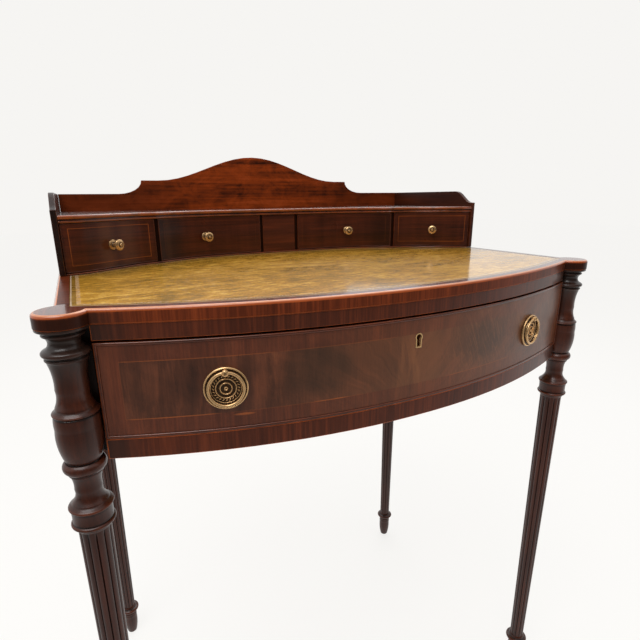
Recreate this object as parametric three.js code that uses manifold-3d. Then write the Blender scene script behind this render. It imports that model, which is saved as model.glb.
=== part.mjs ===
import * as THREE from 'three';
import { mergeVertices } from 'three/addons/utils/BufferGeometryUtils.js';
import Module from 'manifold-3d';

// Bow-fronted writing table with a gallery of small drawers.
// Millimetres. +Z is up, the front faces -Y, and the origin lies on the floor under the middle of the top.

const wasm = await Module();
wasm.setup();

// Fits
const gap = 0.3;
const runGap = 0.4;
const overrun = 4;
const weldDistance = 1e-4;

// Top board
const deskHeight = 762;
const topWidth = 672;
const topDepth = 504;
const topThickness = 13.5;
const earRadius = 22.5;
const earInset = 6;
const bowRise = 64;
const bowLead = 6.5;
const bowPower = 2.08;
const bowSteps = 24;
const earSides = 32;

// Writing leather
const bandingWidth = 13.5;
const leatherThickness = 1.2;

// Front columns and legs
const columnRadius = 19.7;
const turnedLength = 200;
const shaftRadius = 15.2;
const ankleRadius = 10.8;
const reedCount = 12;
const reedDepth = 1.3;
const collarHeight = 56;
const collarRadius = 16;
const footRadius = 8.4;
const turnedSides = 16;

// Back legs
const legBlock = 38;
const backOverhang = 12.5;

// Case
const caseInset = 4;
const panelThickness = 12;
const backThickness = 10;
const upperRailHeight = 15;
const openingHeight = 95.6;
const lowerRailHeight = 20.6;
const railSetback = 1.3;
const upperRailDepth = 20;
const lowerRailDepth = 30;
const postWidth = 22.2;
const postDepth = 27;
const postLead = 3;

// Runners, guides, kickers and stops
const runnerThickness = 7;
const runnerReach = 30;
const guideHeight = 24;
const stopWidth = 30;
const stopDepth = 9;
const stopHeight = 4.5;
const stopInset = 159.4;

// Long drawer
const lipWidth = 3;
const lipDepth = 6;
const lipProud = 1.2;
const drawerPlay = 2;
const frontThickness = 20;
const sideThickness = 9;
const sideDrop = 2;
const drawerBackGap = 5;
const bottomThickness = 6;
const bottomRise = 6.5;

// Lock
const lockWidth = 52;
const lockHeight = 38;
const lockThickness = 11;
const keyholeDrop = 53.5;
const keyholeRadius = 3.4;
const keyholeSlot = 5;
const keyholeHeight = 13.6;
const keyholeSteps = 12;
const threadWidth = 1.4;
const threadDepth = 2.5;
const threadProud = 0.3;
const drillPinRadius = 1.1;
const drillPinSides = 8;
const drillPinLength = 8;
const boltWidth = 18;
const boltThickness = 5;
const boltHeight = 15;
const boltThrow = 8;

// Ring pulls
const pullInset = 106.4;
const pullDrop = 80;
const plateRadius = 20.8;
const plateThickness = 1.2;
const plateRelief = 2.4;
const plateSides = 28;
const ringRadius = 16.5;
const ringWire = 1.5;
const eyeReach = 5.2;
const eyeRadius = 2.9;
const eyeHole = 1.95;
const shankRadius = 2;
const nutRadius = 5;
const nutThickness = 3;
const nutSides = 6;
const wireSides = 8;

// Gallery
const galleryDepth = 235.5;
const galleryHeight = 97.9;
const endInset = 2.7;
const endThickness = 6.8;
const ogeeDrop = 20;
const ogeeLength = 40;
const ogeeFlat = 4;
const crestThickness = 6.5;
const crestHeight = 161.1;
const shoulderHeight = 119.6;
const shoulderHalf = 198.5;
const coveLength = 38.5;
const humpHalf = 172;
const sweepSteps = 8;
const coveSteps = 6;
const humpSteps = 10;
const baseThickness = 1.6;
const baseProud = 1;
const shelfThickness = 9;
const shelfDrop = 26.5;
const shelfProud = 4;
const shelfSteps = 48;
const faceSetback = 4;
const outerSweep = 63;
const middleHollow = 41;
const hollowPower = 3.6;
const partitionThickness = 4.5;
const outerDrawerWidth = 118.8;
const centrePanelWidth = 58.5;
const centrePanelThickness = 8;
const centrePanelSetback = 1.5;
const panelSteps = 2;

// Small drawers
const smallFrontThickness = 10;
const smallSideThickness = 4;
const smallSideDrop = 7;
const smallBottomThickness = 3;
const smallBottomRise = 1;
const smallBackGap = 7;
const knobRadius = 7.2;
const knobLength = 16;
const knobRise = 32;
const innerKnobX = 128;
const knobSides = 12;
const smallSteps = 20;

// Levels and places that follow from the sizes above
const halfWidth = topWidth / 2;
const frontY = -topDepth / 2;
const backY = topDepth / 2;
const columnX = halfWidth - earInset;
const columnY = frontY + bowRise + bowLead;
const caseX = halfWidth - caseInset;
const caseTop = deskHeight - topThickness - gap;
const openingTop = caseTop - upperRailHeight;
const openingBottom = openingTop - openingHeight;
const caseBottom = openingBottom - lowerRailHeight;
const postX = caseX - postWidth;
const backLegX = caseX - legBlock / 2;
const backLegY = backY - backOverhang - legBlock / 2;
const postBackY = columnY - postLead + postDepth;
const backLegFrontY = backLegY - legBlock / 2;
const galleryFrontY = backY - galleryDepth;
const galleryX = halfWidth - endInset - endThickness;
const crestFrontY = backY - crestThickness;
const bayX = galleryX - outerDrawerWidth - partitionThickness / 2;
const partitionX = centrePanelWidth / 2 + partitionThickness / 2;
const galleryFloor = deskHeight + gap;
const smallBayBottom = galleryFloor + baseThickness + gap;
const shelfTop = galleryFloor + galleryHeight - shelfDrop;
const shelfBottom = shelfTop - shelfThickness;

// Colours and finishes of the real surfaces
const mahogany = { color: 0x4a1f10, roughness: 0.32, metalness: 0 };
const crossbanding = { color: 0x5c2814, roughness: 0.3, metalness: 0 };
const secondaryWood = { color: 0x8a6238, roughness: 0.75, metalness: 0 };
const brass = { color: 0xa07a3c, roughness: 0.35, metalness: 1 };
const leather = { color: 0x6c5a22, roughness: 0.55, metalness: 0 };

// Closed, merged copy of a geometry, with its faces pointing out
function tidy(geometry) {
  const bare = geometry.clone();
  bare.deleteAttribute('normal');
  bare.deleteAttribute('uv');
  const merged = mergeVertices(bare, weldDistance);
  const place = merged.attributes.position;
  const corners = merged.index.array;
  const kept = [];
  let volume = 0;
  const a = new THREE.Vector3();
  const b = new THREE.Vector3();
  const c = new THREE.Vector3();
  for (let i = 0; i < corners.length; i += 3) {
    const [p, q, r] = [corners[i], corners[i + 1], corners[i + 2]];
    if (p === q || q === r || r === p) continue;
    kept.push(p, q, r);
    a.fromBufferAttribute(place, p);
    b.fromBufferAttribute(place, q);
    c.fromBufferAttribute(place, r);
    volume += a.dot(b.cross(c));
  }
  if (volume < 0) kept.reverse();
  merged.setIndex(kept);
  return merged;
}

function toSolid(geometry) {
  const closed = tidy(geometry);
  const mesh = new wasm.Mesh({
    numProp: 3,
    vertProperties: new Float32Array(closed.attributes.position.array),
    triVerts: new Uint32Array(closed.index.array),
  });
  return new wasm.Manifold(mesh);
}

function fromSolid(solid) {
  const { vertProperties, triVerts } = solid.getMesh();
  const geometry = new THREE.BufferGeometry();
  geometry.setAttribute('position', new THREE.BufferAttribute(vertProperties, 3));
  geometry.setIndex(new THREE.BufferAttribute(triVerts, 1));
  return geometry;
}

function join(first, ...others) {
  return fromSolid(others.reduce((sum, other) => sum.add(toSolid(other)), toSolid(first)));
}

function cut(first, ...others) {
  return fromSolid(others.reduce((rest, other) => rest.subtract(toSolid(other)), toSolid(first)));
}

function block(x0, x1, y0, y1, z0, z1) {
  const box = new THREE.BoxGeometry(x1 - x0, y1 - y0, z1 - z0);
  return box.translate((x0 + x1) / 2, (y0 + y1) / 2, (z0 + z1) / 2);
}

function extruded(points, length) {
  const outline = new THREE.Shape(points.map(([u, v]) => new THREE.Vector2(u, v)));
  return new THREE.ExtrudeGeometry(outline, { depth: length, bevelEnabled: false, steps: 1 });
}

// Outline in plan, raised from z0 to z1
function standing(points, z0, z1) {
  return extruded(points, z1 - z0).translate(0, 0, z0);
}

// Outline of [x, z] points, running from y0 to y1
function alongY(points, y0, y1) {
  return extruded(points, y1 - y0).rotateX(Math.PI / 2).translate(0, y1, 0);
}

// Outline of [y, z] points, running from x0 to x1
function alongX(points, x0, x1) {
  const turn = new THREE.Matrix4().makeBasis(
    new THREE.Vector3(0, 1, 0),
    new THREE.Vector3(0, 0, 1),
    new THREE.Vector3(1, 0, 0),
  );
  return extruded(points, x1 - x0).applyMatrix4(turn).translate(x0, 0, 0);
}

// Profile of [radius, height] points, turned about the Z axis
function turned(profile, sides) {
  const points = profile.map(([radius, height]) => new THREE.Vector2(radius, height));
  const first = new THREE.Vector2(0, points[0].y);
  const last = new THREE.Vector2(0, points[points.length - 1].y);
  return new THREE.LatheGeometry([first, ...points, last], sides).rotateX(Math.PI / 2);
}

function post(radius, z0, z1, sides) {
  return turned([[radius, z0], [radius, z1]], sides);
}

// Even steps from one value to another, both ends included
function steps(from, to, count) {
  return Array.from({ length: count + 1 }, (_, i) => from + ((to - from) * i) / count);
}

// Front line of the table in plan, and how steeply it runs
function bowY(x, setback) {
  const share = Math.abs(x / (columnX - earRadius + bowLead)) ** bowPower;
  return columnY - bowLead - bowRise * (1 - share) + setback;
}

const slopeShare = 1e-5;

function slopeAt(line, x) {
  const near = topWidth * slopeShare;
  return (line(x + near) - line(x - near)) / (2 * near);
}

// Plan outline between two lines of x, left to right and back again
function between(x0, x1, count, nearLine, farLine) {
  const xs = steps(x0, x1, count);
  const near = xs.map((x) => [x, nearLine(x)]);
  const far = xs.map((x) => [x, farLine(x)]);
  return [...near, ...far.reverse()];
}

// Board that follows the bow, from one setback to another
function bowed(halfLength, front, back, z0, z1) {
  const outline = between(-halfLength, halfLength, bowSteps, (x) => bowY(x, front), (x) => bowY(x, back));
  return standing(outline, z0, z1);
}

// Front line of the gallery's drawers in plan: an S at each end and a hollow middle
function galleryY(x) {
  const reach = Math.min(Math.abs(x), galleryX);
  const endY = galleryFrontY + faceSetback;
  if (reach <= bayX) {
    return endY + outerSweep + middleHollow * (1 - (reach / bayX) ** hollowPower);
  }
  const t = (reach - bayX) / (galleryX - bayX);
  return endY + outerSweep * (1 - t * t * (3 - 2 * t));
}

const desk = new THREE.Group();
desk.name = 'escritoire';

function add(parent, name, geometry, finish) {
  const mesh = new THREE.Mesh(tidy(geometry), new THREE.MeshStandardMaterial(finish));
  mesh.name = name;
  parent.add(mesh);
  return mesh;
}

const sideNames = [['left', -1], ['right', 1]];

function mirrored(geometry, side) {
  return side < 0 ? geometry : geometry.clone().scale(-1, 1, 1);
}

// Top board: a slab with a bowed front and a round ear over each column, recessed for the leather
function leatherOutline(margin) {
  const sideX = halfWidth - bandingWidth + margin;
  const front = (x) => bowY(x, bandingWidth - margin);
  const back = (x) => galleryY(x) - baseProud - gap + margin;
  return between(-sideX, sideX, bowSteps, front, back);
}

function makeTop() {
  const innerX = columnX - earRadius / 2;
  const bowedPart = between(-innerX, innerX, bowSteps, (x) => bowY(x, 0), () => backY);
  const lower = deskHeight - topThickness;
  const ears = sideNames.map(([, side]) => (
    post(earRadius, lower, deskHeight, earSides).translate(side * columnX, columnY, 0)
  ));
  const slab = join(
    standing(bowedPart, lower, deskHeight),
    block(-halfWidth, halfWidth, columnY, backY, lower, deskHeight),
    ...ears,
  );
  const recessDepth = leatherThickness + gap;
  const recess = standing(leatherOutline(gap), deskHeight - recessDepth, deskHeight + overrun);
  add(desk, 'top_board', cut(slab, recess), crossbanding);
  const sheet = standing(leatherOutline(0), deskHeight - leatherThickness, deskHeight);
  add(desk, 'writing_leather', sheet, leather);
}

// Turned part of a leg: shares of the widest ring's radius, and of the turned length down from the case top
const columnShares = [
  [1.117, 0], [1.117, 0.011], [0.93, 0.018], [0.91, 0.034], [0.71, 0.048], [0.69, 0.065],
  [0.86, 0.092], [0.98, 0.108], [0.98, 0.117], [0.9, 0.131], [0.91, 0.15], [0.83, 0.158],
  [0.755, 0.23], [0.72, 0.295], [0.76, 0.345], [0.95, 0.393], [1.0, 0.401], [0.985, 0.41],
  [0.99, 0.46], [0.9, 0.55], [0.805, 0.628],
];
const neckShares = [
  [0.86, 0.637], [0.965, 0.65], [0.965, 0.682], [0.86, 0.695], [0.77, 0.703], [0.63, 0.76],
  [0.64, 0.8], [0.8, 0.855], [0.975, 0.878], [1, 0.886], [0.945, 0.893], [0.945, 0.955],
  [1, 0.962], [1, 0.975], [0.85, 0.983], [0.79, 1],
];

function turnedPart(shares) {
  const profile = shares.map(([r, drop]) => [r * columnRadius, caseTop - drop * turnedLength]);
  return turned(profile.reverse(), turnedSides);
}

// Reeded shaft: a taper whose section has one round ridge for each reed
function reededShaft() {
  const sectorSides = 4;
  const sectorShares = [1, 0.25, 0, 0.25];
  const sides = reedCount * sectorSides;
  const top = caseTop - turnedLength + gap;
  const foot = collarHeight;
  const shaft = turned([[ankleRadius, foot], [shaftRadius, top]], sides);
  const place = shaft.attributes.position;
  for (let i = 0; i < place.count; i += 1) {
    const [x, y] = [place.getX(i), place.getY(i)];
    const radius = Math.hypot(x, y);
    if (radius < ankleRadius / 2) continue;
    const turn = (Math.atan2(y, x) / (2 * Math.PI)) * sides;
    const corner = (Math.round(turn) + sides) % sectorSides;
    const scale = 1 - (reedDepth / shaftRadius) * sectorShares[corner];
    place.setXY(i, x * scale, y * scale);
  }
  return shaft;
}

// Foot: shares of the collar's radius, and of the collar's height above the floor
const footShares = [
  [0.69, 0.88], [0.74, 0.72], [0.72, 0.56], [0.66, 0.38], [0.57, 0.15],
];
const collarShares = [
  [0.65, 0.9], [0.82, 0.94], [1, 0.98], [1, 1.02], [0.82, 1.06], [0.7, 1.12],
];

function legFoot() {
  const rising = [...footShares].reverse().map(([r, h]) => [r * collarRadius, h * collarHeight]);
  const collar = collarShares.map(([r, h]) => [r * collarRadius, h * collarHeight]);
  return turned([[footRadius, 0], ...rising, ...collar], turnedSides);
}

// The wide ring on top of a front leg is cut flat where the upper rail ends beside it
function makeLegs() {
  const reach = columnRadius * columnShares[0][0] + overrun;
  for (const [sideName, side] of sideNames) {
    const whole = join(turnedPart([...columnShares, ...neckShares]), reededShaft(), legFoot());
    const [near, far] = [side * (postX - columnX), -side * reach];
    const beside = block(
      Math.min(near, far), Math.max(near, far), -reach, reach, caseBottom - gap, caseTop + overrun,
    );
    const front = cut(whole, beside);
    add(desk, `front_leg_${sideName}`, front, mahogany).position.set(side * columnX, columnY, 0);
    const half = legBlock / 2;
    const upper = block(-half, half, -half, half, caseBottom, caseTop);
    const back = join(upper, turnedPart(neckShares), reededShaft(), legFoot());
    add(desk, `back_leg_${sideName}`, back, mahogany).position.set(side * backLegX, backLegY, 0);
  }
}

// Case: corner posts hollowed for the columns, panels, rails, runners and kickers
function makeCase() {
  const earRing = columnRadius * columnShares[0][0] + gap;
  for (const [sideName, side] of sideNames) {
    const hollow = post(earRing, caseBottom - overrun, caseTop + overrun, earSides)
      .translate(-columnX, columnY, 0);
    const corner = block(-caseX, -postX, columnY - postLead, postBackY, caseBottom, caseTop);
    add(desk, `corner_post_${sideName}`, mirrored(cut(corner, hollow), side), mahogany);
    const panel = block(
      -caseX, -caseX + panelThickness, postBackY + gap, backLegFrontY - gap, caseBottom, caseTop,
    );
    add(desk, `side_panel_${sideName}`, mirrored(panel, side), mahogany);
    const outer = -caseX + panelThickness + gap;
    const inner = outer + runnerReach;
    const guideInner = -postX + runGap;
    const runner = alongY([
      [outer, openingBottom - runnerThickness],
      [inner, openingBottom - runnerThickness],
      [inner, openingBottom],
      [guideInner, openingBottom],
      [guideInner, openingBottom + guideHeight],
      [outer, openingBottom + guideHeight],
    ], postBackY + gap, backLegFrontY - gap);
    add(desk, `drawer_runner_${sideName}`, mirrored(runner, side), secondaryWood);
    const kicker = block(outer, inner, postBackY + gap, backLegFrontY - gap, openingTop, caseTop);
    add(desk, `drawer_kicker_${sideName}`, mirrored(kicker, side), secondaryWood);
  }
  const panelHalf = caseX - legBlock - gap;
  const panelBack = backY - backOverhang;
  const back = block(-panelHalf, panelHalf, panelBack - backThickness, panelBack, caseBottom, caseTop);
  add(desk, 'back_panel', back, secondaryWood);
}

// Places of the lock, which stands in the middle of the long drawer's front
const faceY = bowY(0, railSetback);
const lockBackY = faceY + frontThickness - gap;
const lockFrontY = lockBackY - lockThickness;
const boltY = (lockBackY + lockFrontY) / 2;
const drawerTop = openingTop - drawerPlay;
const drawerBottom = openingBottom + runGap;
const drawerHalf = postX - runGap;
const pullX = drawerHalf - pullInset;
const keyholeZ = deskHeight - keyholeDrop;

function makeRails() {
  const railHalf = postX - gap;
  const upper = bowed(railHalf, railSetback, railSetback + upperRailDepth, openingTop, caseTop);
  const mortise = block(
    -boltWidth / 2 - gap, boltWidth / 2 + gap,
    boltY - boltThickness / 2 - gap, boltY + boltThickness / 2 + gap,
    openingTop - overrun, openingTop + boltThrow + gap,
  );
  add(desk, 'upper_front_rail', cut(upper, mortise), crossbanding);
  const lower = bowed(railHalf, railSetback, railSetback + lowerRailDepth, caseBottom, openingBottom);
  add(desk, 'lower_front_rail', lower, crossbanding);
  for (const [sideName, side] of sideNames) {
    const x = side * (drawerHalf - stopInset);
    const turn = Math.atan(slopeAt((at) => bowY(at, 0), x));
    const y = bowY(x, railSetback + frontThickness + runGap) + stopDepth / 2 + gap;
    const stop = block(-stopWidth / 2, stopWidth / 2, -stopDepth / 2, stopDepth / 2, 0, stopHeight);
    const mesh = add(desk, `drawer_stop_${sideName}`, stop, secondaryWood);
    mesh.position.set(x, y, openingBottom + gap);
    mesh.rotation.z = turn;
  }
}

// Keyhole outline of [x, z] points, grown by a margin
function keyholeOutline(margin) {
  const radius = keyholeRadius + margin;
  const slot = keyholeSlot / 2 + margin;
  const low = keyholeZ + keyholeRadius - keyholeHeight - margin;
  const turnAt = Math.asin(slot / radius);
  const arc = steps(-Math.PI / 2 + turnAt, (3 * Math.PI) / 2 - turnAt, keyholeSteps);
  const round = arc.map((turn) => [radius * Math.cos(turn), keyholeZ + radius * Math.sin(turn)]);
  return [[slot, low], ...round, [-slot, low]];
}

// Ring pull, built about its own centre: Z up, and the wall of the drawer at y = 0
const plateShares = [
  [0.1, 0.95], [0.16, 0.4], [0.26, 0.4], [0.3, 0.85], [0.38, 0.4], [0.45, 0.4],
  [0.48, 0.85], [0.62, 0.85], [0.66, 0.3], [0.9, 0.3], [0.95, 1], [1, 0.5],
];

function facing(geometry) {
  return geometry.rotateX(Math.PI / 2);
}

function makePull(parent, sideName, side) {
  const pull = new THREE.Group();
  const x = side * pullX;
  pull.position.set(x, bowY(x, railSetback), deskHeight - pullDrop);
  pull.rotation.z = Math.atan(slopeAt((at) => bowY(at, 0), x));
  parent.add(pull);
  const relief = plateShares.map(([r, h]) => [r * plateRadius, gap + plateThickness + h * plateRelief]);
  const disc = facing(turned([[plateRadius, gap], ...relief.reverse()], plateSides));
  const hole = facing(post(shankRadius + gap, -overrun, eyeReach, turnedSides)).translate(0, 0, ringRadius);
  const seat = facing(post(eyeRadius + gap, gap + plateThickness + plateRelief / 4, eyeReach, turnedSides))
    .translate(0, 0, ringRadius);
  add(pull, `pull_plate_${sideName}`, cut(disc, hole, seat), brass);
  const nutStart = -frontThickness - gap - nutThickness;
  const shank = facing(post(shankRadius, nutStart, eyeReach, turnedSides));
  const head = facing(post(
    eyeRadius, gap + plateThickness + plateRelief / 4 + gap, eyeReach + eyeRadius, turnedSides,
  ));
  const nut = facing(post(nutRadius, nutStart, nutStart + nutThickness, nutSides));
  const cross = post(eyeHole, -eyeRadius - overrun, eyeRadius + overrun, turnedSides)
    .rotateY(Math.PI / 2)
    .translate(0, -eyeReach, 0);
  const eye = cut(join(shank, head, nut), cross).translate(0, 0, ringRadius);
  add(pull, `pull_post_${sideName}`, eye, brass);
  const ring = new THREE.TorusGeometry(ringRadius, ringWire, wireSides, plateSides)
    .rotateX(Math.PI / 2)
    .translate(0, -eyeReach, 0);
  add(pull, `pull_ring_${sideName}`, ring, brass);
  pull.updateMatrixWorld(true);
}

// Hole for a ring pull's shank, placed in the drawer front
function shankHole(side) {
  const x = side * pullX;
  const turn = Math.atan(slopeAt((at) => bowY(at, 0), x));
  return facing(post(shankRadius + gap, -frontThickness - overrun, overrun, turnedSides))
    .rotateZ(turn)
    .translate(x, bowY(x, railSetback), deskHeight - pullDrop + ringRadius);
}

function makeLongDrawer() {
  const drawer = new THREE.Group();
  desk.add(drawer);
  const innerHalf = drawerHalf - lipWidth;
  const lipBack = railSetback + lipDepth;
  const lip = cut(
    bowed(drawerHalf, railSetback - lipProud, lipBack, drawerBottom, drawerTop),
    bowed(
      innerHalf, railSetback - lipProud - overrun, lipBack + overrun,
      drawerBottom + lipWidth, drawerTop - lipWidth,
    ),
  );
  add(drawer, 'drawer_lip', lip, mahogany);
  const field = bowed(
    innerHalf - gap, railSetback, railSetback + frontThickness,
    drawerBottom + lipWidth + gap, drawerTop - lipWidth - gap,
  );
  const core = bowed(drawerHalf, lipBack + gap, railSetback + frontThickness, drawerBottom, drawerTop);
  const keyhole = alongY(keyholeOutline(threadWidth + gap), faceY - overrun, faceY + frontThickness);
  const lockRoom = block(
    -lockWidth / 2 - gap, lockWidth / 2 + gap, lockFrontY - gap, lockBackY + overrun + overrun,
    drawerTop - lockHeight - gap, drawerTop + overrun,
  );
  const front = cut(join(field, core), keyhole, lockRoom, shankHole(-1), shankHole(1));
  add(drawer, 'drawer_front', front, mahogany);

  const sideTop = drawerTop - sideDrop;
  const sideFront = bowY(drawerHalf, railSetback + frontThickness) + gap;
  const sideBack = backLegFrontY - drawerBackGap;
  const innerX = drawerHalf - sideThickness;
  for (const [sideName, side] of sideNames) {
    const board = block(-drawerHalf, -innerX, sideFront, sideBack, drawerBottom, sideTop);
    add(drawer, `drawer_side_${sideName}`, mirrored(board, side), secondaryWood);
  }
  const bottomLow = drawerBottom + bottomRise;
  const bottomHigh = bottomLow + bottomThickness;
  const backFrontY = sideBack - sideThickness;
  const back = block(-innerX + gap, innerX - gap, backFrontY, sideBack, bottomHigh + gap, sideTop);
  add(drawer, 'drawer_back', back, secondaryWood);
  const floor = between(
    -innerX + gap, innerX - gap, bowSteps,
    (x) => bowY(x, railSetback + frontThickness + gap), () => sideBack,
  );
  add(drawer, 'drawer_bottom', standing(floor, bottomLow, bottomHigh), secondaryWood);

  const lockBottom = drawerTop - lockHeight;
  const body = block(-lockWidth / 2, lockWidth / 2, lockFrontY, lockBackY, lockBottom, drawerTop);
  const boltRoom = block(
    -boltWidth / 2 - gap, boltWidth / 2 + gap,
    boltY - boltThickness / 2 - gap, boltY + boltThickness / 2 + gap,
    drawerTop - boltHeight - gap, drawerTop + overrun,
  );
  const keyRoom = alongY(keyholeOutline(0), lockFrontY - overrun, boltY);
  const pin = facing(post(drillPinRadius, -gap, drillPinLength, drillPinSides))
    .translate(0, boltY, keyholeZ);
  add(drawer, 'lock_case', join(cut(body, boltRoom, keyRoom), pin), brass);
  const bolt = block(
    -boltWidth / 2, boltWidth / 2, boltY - boltThickness / 2, boltY + boltThickness / 2,
    drawerTop - boltHeight, drawerTop,
  );
  add(drawer, 'lock_bolt', bolt, brass);
  const thread = cut(
    alongY(keyholeOutline(threadWidth), faceY - threadProud, faceY + threadDepth),
    alongY(keyholeOutline(0), faceY - overrun, faceY + threadDepth + overrun),
  );
  add(drawer, 'escutcheon', thread, brass);
  for (const [sideName, side] of sideNames) makePull(drawer, sideName, side);
}

// Gallery: base, ends, crest, shelf, partitions and the plain centre panel
function endOutline() {
  const low = galleryFloor;
  const high = low + galleryHeight;
  const sweep = steps(0, 1, sweepSteps).map((t) => [
    galleryFrontY + ogeeFlat + ogeeLength * (1 - t),
    high - (ogeeDrop * (1 - Math.cos(Math.PI * t))) / 2,
  ]);
  return [[galleryFrontY, low], [backY, low], [backY, high], ...sweep, [galleryFrontY, high - ogeeDrop]];
}

function crestOutline() {
  const low = galleryFloor;
  const half = galleryX - gap;
  const rise = shoulderHeight - galleryHeight;
  const cove = steps(0, Math.PI / 2, coveSteps).map((turn) => [
    shoulderHalf + coveLength * (1 - Math.sin(turn)),
    low + shoulderHeight - rise * Math.cos(turn),
  ]);
  const hump = steps(1, 0, humpSteps).map((share) => [
    humpHalf * share,
    low + shoulderHeight + ((crestHeight - shoulderHeight) * (1 + Math.cos(Math.PI * share))) / 2,
  ]);
  const right = [[half, low], [half, low + galleryHeight], ...cove, ...hump];
  const left = right.slice(0, -1).reverse().map(([x, z]) => [-x, z]);
  return [...right, ...left];
}

function makeGallery() {
  for (const [sideName, side] of sideNames) {
    const end = alongX(endOutline(), -galleryX - endThickness, -galleryX);
    add(desk, `gallery_end_${sideName}`, mirrored(end, side), mahogany);
  }
  add(desk, 'gallery_crest', alongY(crestOutline(), crestFrontY, backY), mahogany);
  const innerBack = crestFrontY - gap;
  const half = galleryX - gap;
  const plan = (lead) => between(-half, half, shelfSteps, (x) => galleryY(x) - lead, () => innerBack);
  const base = standing(plan(baseProud), galleryFloor, galleryFloor + baseThickness);
  add(desk, 'gallery_base', base, mahogany);
  add(desk, 'gallery_shelf', standing(plan(shelfProud), shelfBottom, shelfTop), mahogany);
  const wallTop = shelfBottom - gap;
  const thick = partitionThickness / 2;
  for (const [place, x] of [['outer', bayX], ['inner', partitionX]]) {
    for (const [sideName, side] of sideNames) {
      const front = galleryY(x + thick) + railSetback;
      const wall = block(x - thick, x + thick, Math.max(front, galleryY(x - thick)), innerBack,
        smallBayBottom, wallTop);
      add(desk, `partition_${place}_${sideName}`, mirrored(wall, -side), mahogany);
    }
  }
  const panelHalf = centrePanelWidth / 2 - gap;
  const panel = between(
    -panelHalf, panelHalf, panelSteps,
    (x) => galleryY(x) + centrePanelSetback,
    (x) => galleryY(x) + centrePanelSetback + centrePanelThickness,
  );
  add(desk, 'centre_panel', standing(panel, smallBayBottom, wallTop), mahogany);
}

// Knob: shares of its radius, and of its length out from the drawer
const knobShares = [
  [0.92, 0], [0.92, 0.07], [0.5, 0.15], [0.34, 0.3], [0.36, 0.5], [0.8, 0.6], [1, 0.72],
  [0.9, 0.84], [0.45, 0.93], [0.2, 1],
];

function makeKnob(parent, name, x) {
  const profile = knobShares.map(([r, out]) => [r * knobRadius, gap + out * knobLength]);
  const knob = add(parent, name, facing(turned(profile, knobSides)), brass);
  knob.position.set(x, galleryY(x), galleryFloor + knobRise);
  knob.rotation.z = Math.atan(slopeAt(galleryY, x));
}

// Small drawer between two lines of x: front, three-sided box, bottom and knob
function makeSmallDrawer(name, x0, x1, knobX) {
  const drawer = new THREE.Group();
  desk.add(drawer);
  const left = Math.min(x0, x1) + runGap;
  const right = Math.max(x0, x1) - runGap;
  const low = smallBayBottom + gap;
  const high = shelfBottom - runGap;
  const backOf = (x) => galleryY(x) + smallFrontThickness;
  const front = standing(between(left, right, smallSteps, galleryY, backOf), low, high);
  add(drawer, `small_drawer_front_${name}`, front, mahogany);
  const boxLeft = left + runGap;
  const boxRight = right - runGap;
  const wall = smallSideThickness;
  const rear = crestFrontY - smallBackGap;
  const leftFront = Math.max(backOf(boxLeft), backOf(boxLeft + wall)) + gap;
  const rightFront = Math.max(backOf(boxRight), backOf(boxRight - wall)) + gap;
  const box = standing([
    [boxLeft, leftFront], [boxLeft + wall, leftFront], [boxLeft + wall, rear - wall],
    [boxRight - wall, rear - wall], [boxRight - wall, rightFront], [boxRight, rightFront],
    [boxRight, rear], [boxLeft, rear],
  ], low, high - smallSideDrop);
  add(drawer, `small_drawer_box_${name}`, box, secondaryWood);
  const floor = between(
    boxLeft + wall + gap, boxRight - wall - gap, smallSteps,
    (x) => backOf(x) + gap, () => rear - wall - gap,
  );
  const floorLow = low + smallBottomRise;
  const bottom = standing(floor, floorLow, floorLow + smallBottomThickness);
  add(drawer, `small_drawer_bottom_${name}`, bottom, secondaryWood);
  makeKnob(drawer, `knob_${name}`, knobX);
}

function makeSmallDrawers() {
  const outerX = galleryX;
  const bayInner = bayX - partitionThickness / 2;
  const bayOuter = bayX + partitionThickness / 2;
  const middle = partitionX + partitionThickness / 2;
  const outerKnobX = (bayOuter + outerX) / 2;
  makeSmallDrawer('outer_left', -outerX, -bayOuter, -outerKnobX);
  makeSmallDrawer('inner_left', -bayInner, -middle, -innerKnobX);
  makeSmallDrawer('inner_right', middle, bayInner, innerKnobX);
  makeSmallDrawer('outer_right', bayOuter, outerX, outerKnobX);
}

makeTop();
makeLegs();
makeCase();
makeRails();
makeLongDrawer();
makeGallery();
makeSmallDrawers();

export default desk;
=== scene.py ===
"""Bow-fronted mahogany escritoire: finished surfaces and fine shapes around its fixed frame."""

import math
from functools import partial

import bmesh
import bpy
from bpy.props import FloatProperty, FloatVectorProperty, IntProperty, PointerProperty
from mathutils import Matrix, Vector


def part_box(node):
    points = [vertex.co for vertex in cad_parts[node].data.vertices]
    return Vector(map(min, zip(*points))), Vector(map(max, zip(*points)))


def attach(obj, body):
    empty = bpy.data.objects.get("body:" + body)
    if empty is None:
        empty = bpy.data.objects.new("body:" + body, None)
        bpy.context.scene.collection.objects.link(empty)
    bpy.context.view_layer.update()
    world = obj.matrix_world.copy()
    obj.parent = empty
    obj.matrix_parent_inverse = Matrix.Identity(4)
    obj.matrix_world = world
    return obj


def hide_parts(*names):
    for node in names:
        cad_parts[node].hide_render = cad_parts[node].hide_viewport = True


bl_info = {
    "name": "Escritoire",
    "version": (1, 0, 0),
    "blender": (4, 5, 0),
    "location": "3D View > Sidebar > Escritoire",
    "description": "Dresses a bow-fronted writing table with polished wood, leather and old brass",
    "category": "Add Mesh",
}

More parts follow.
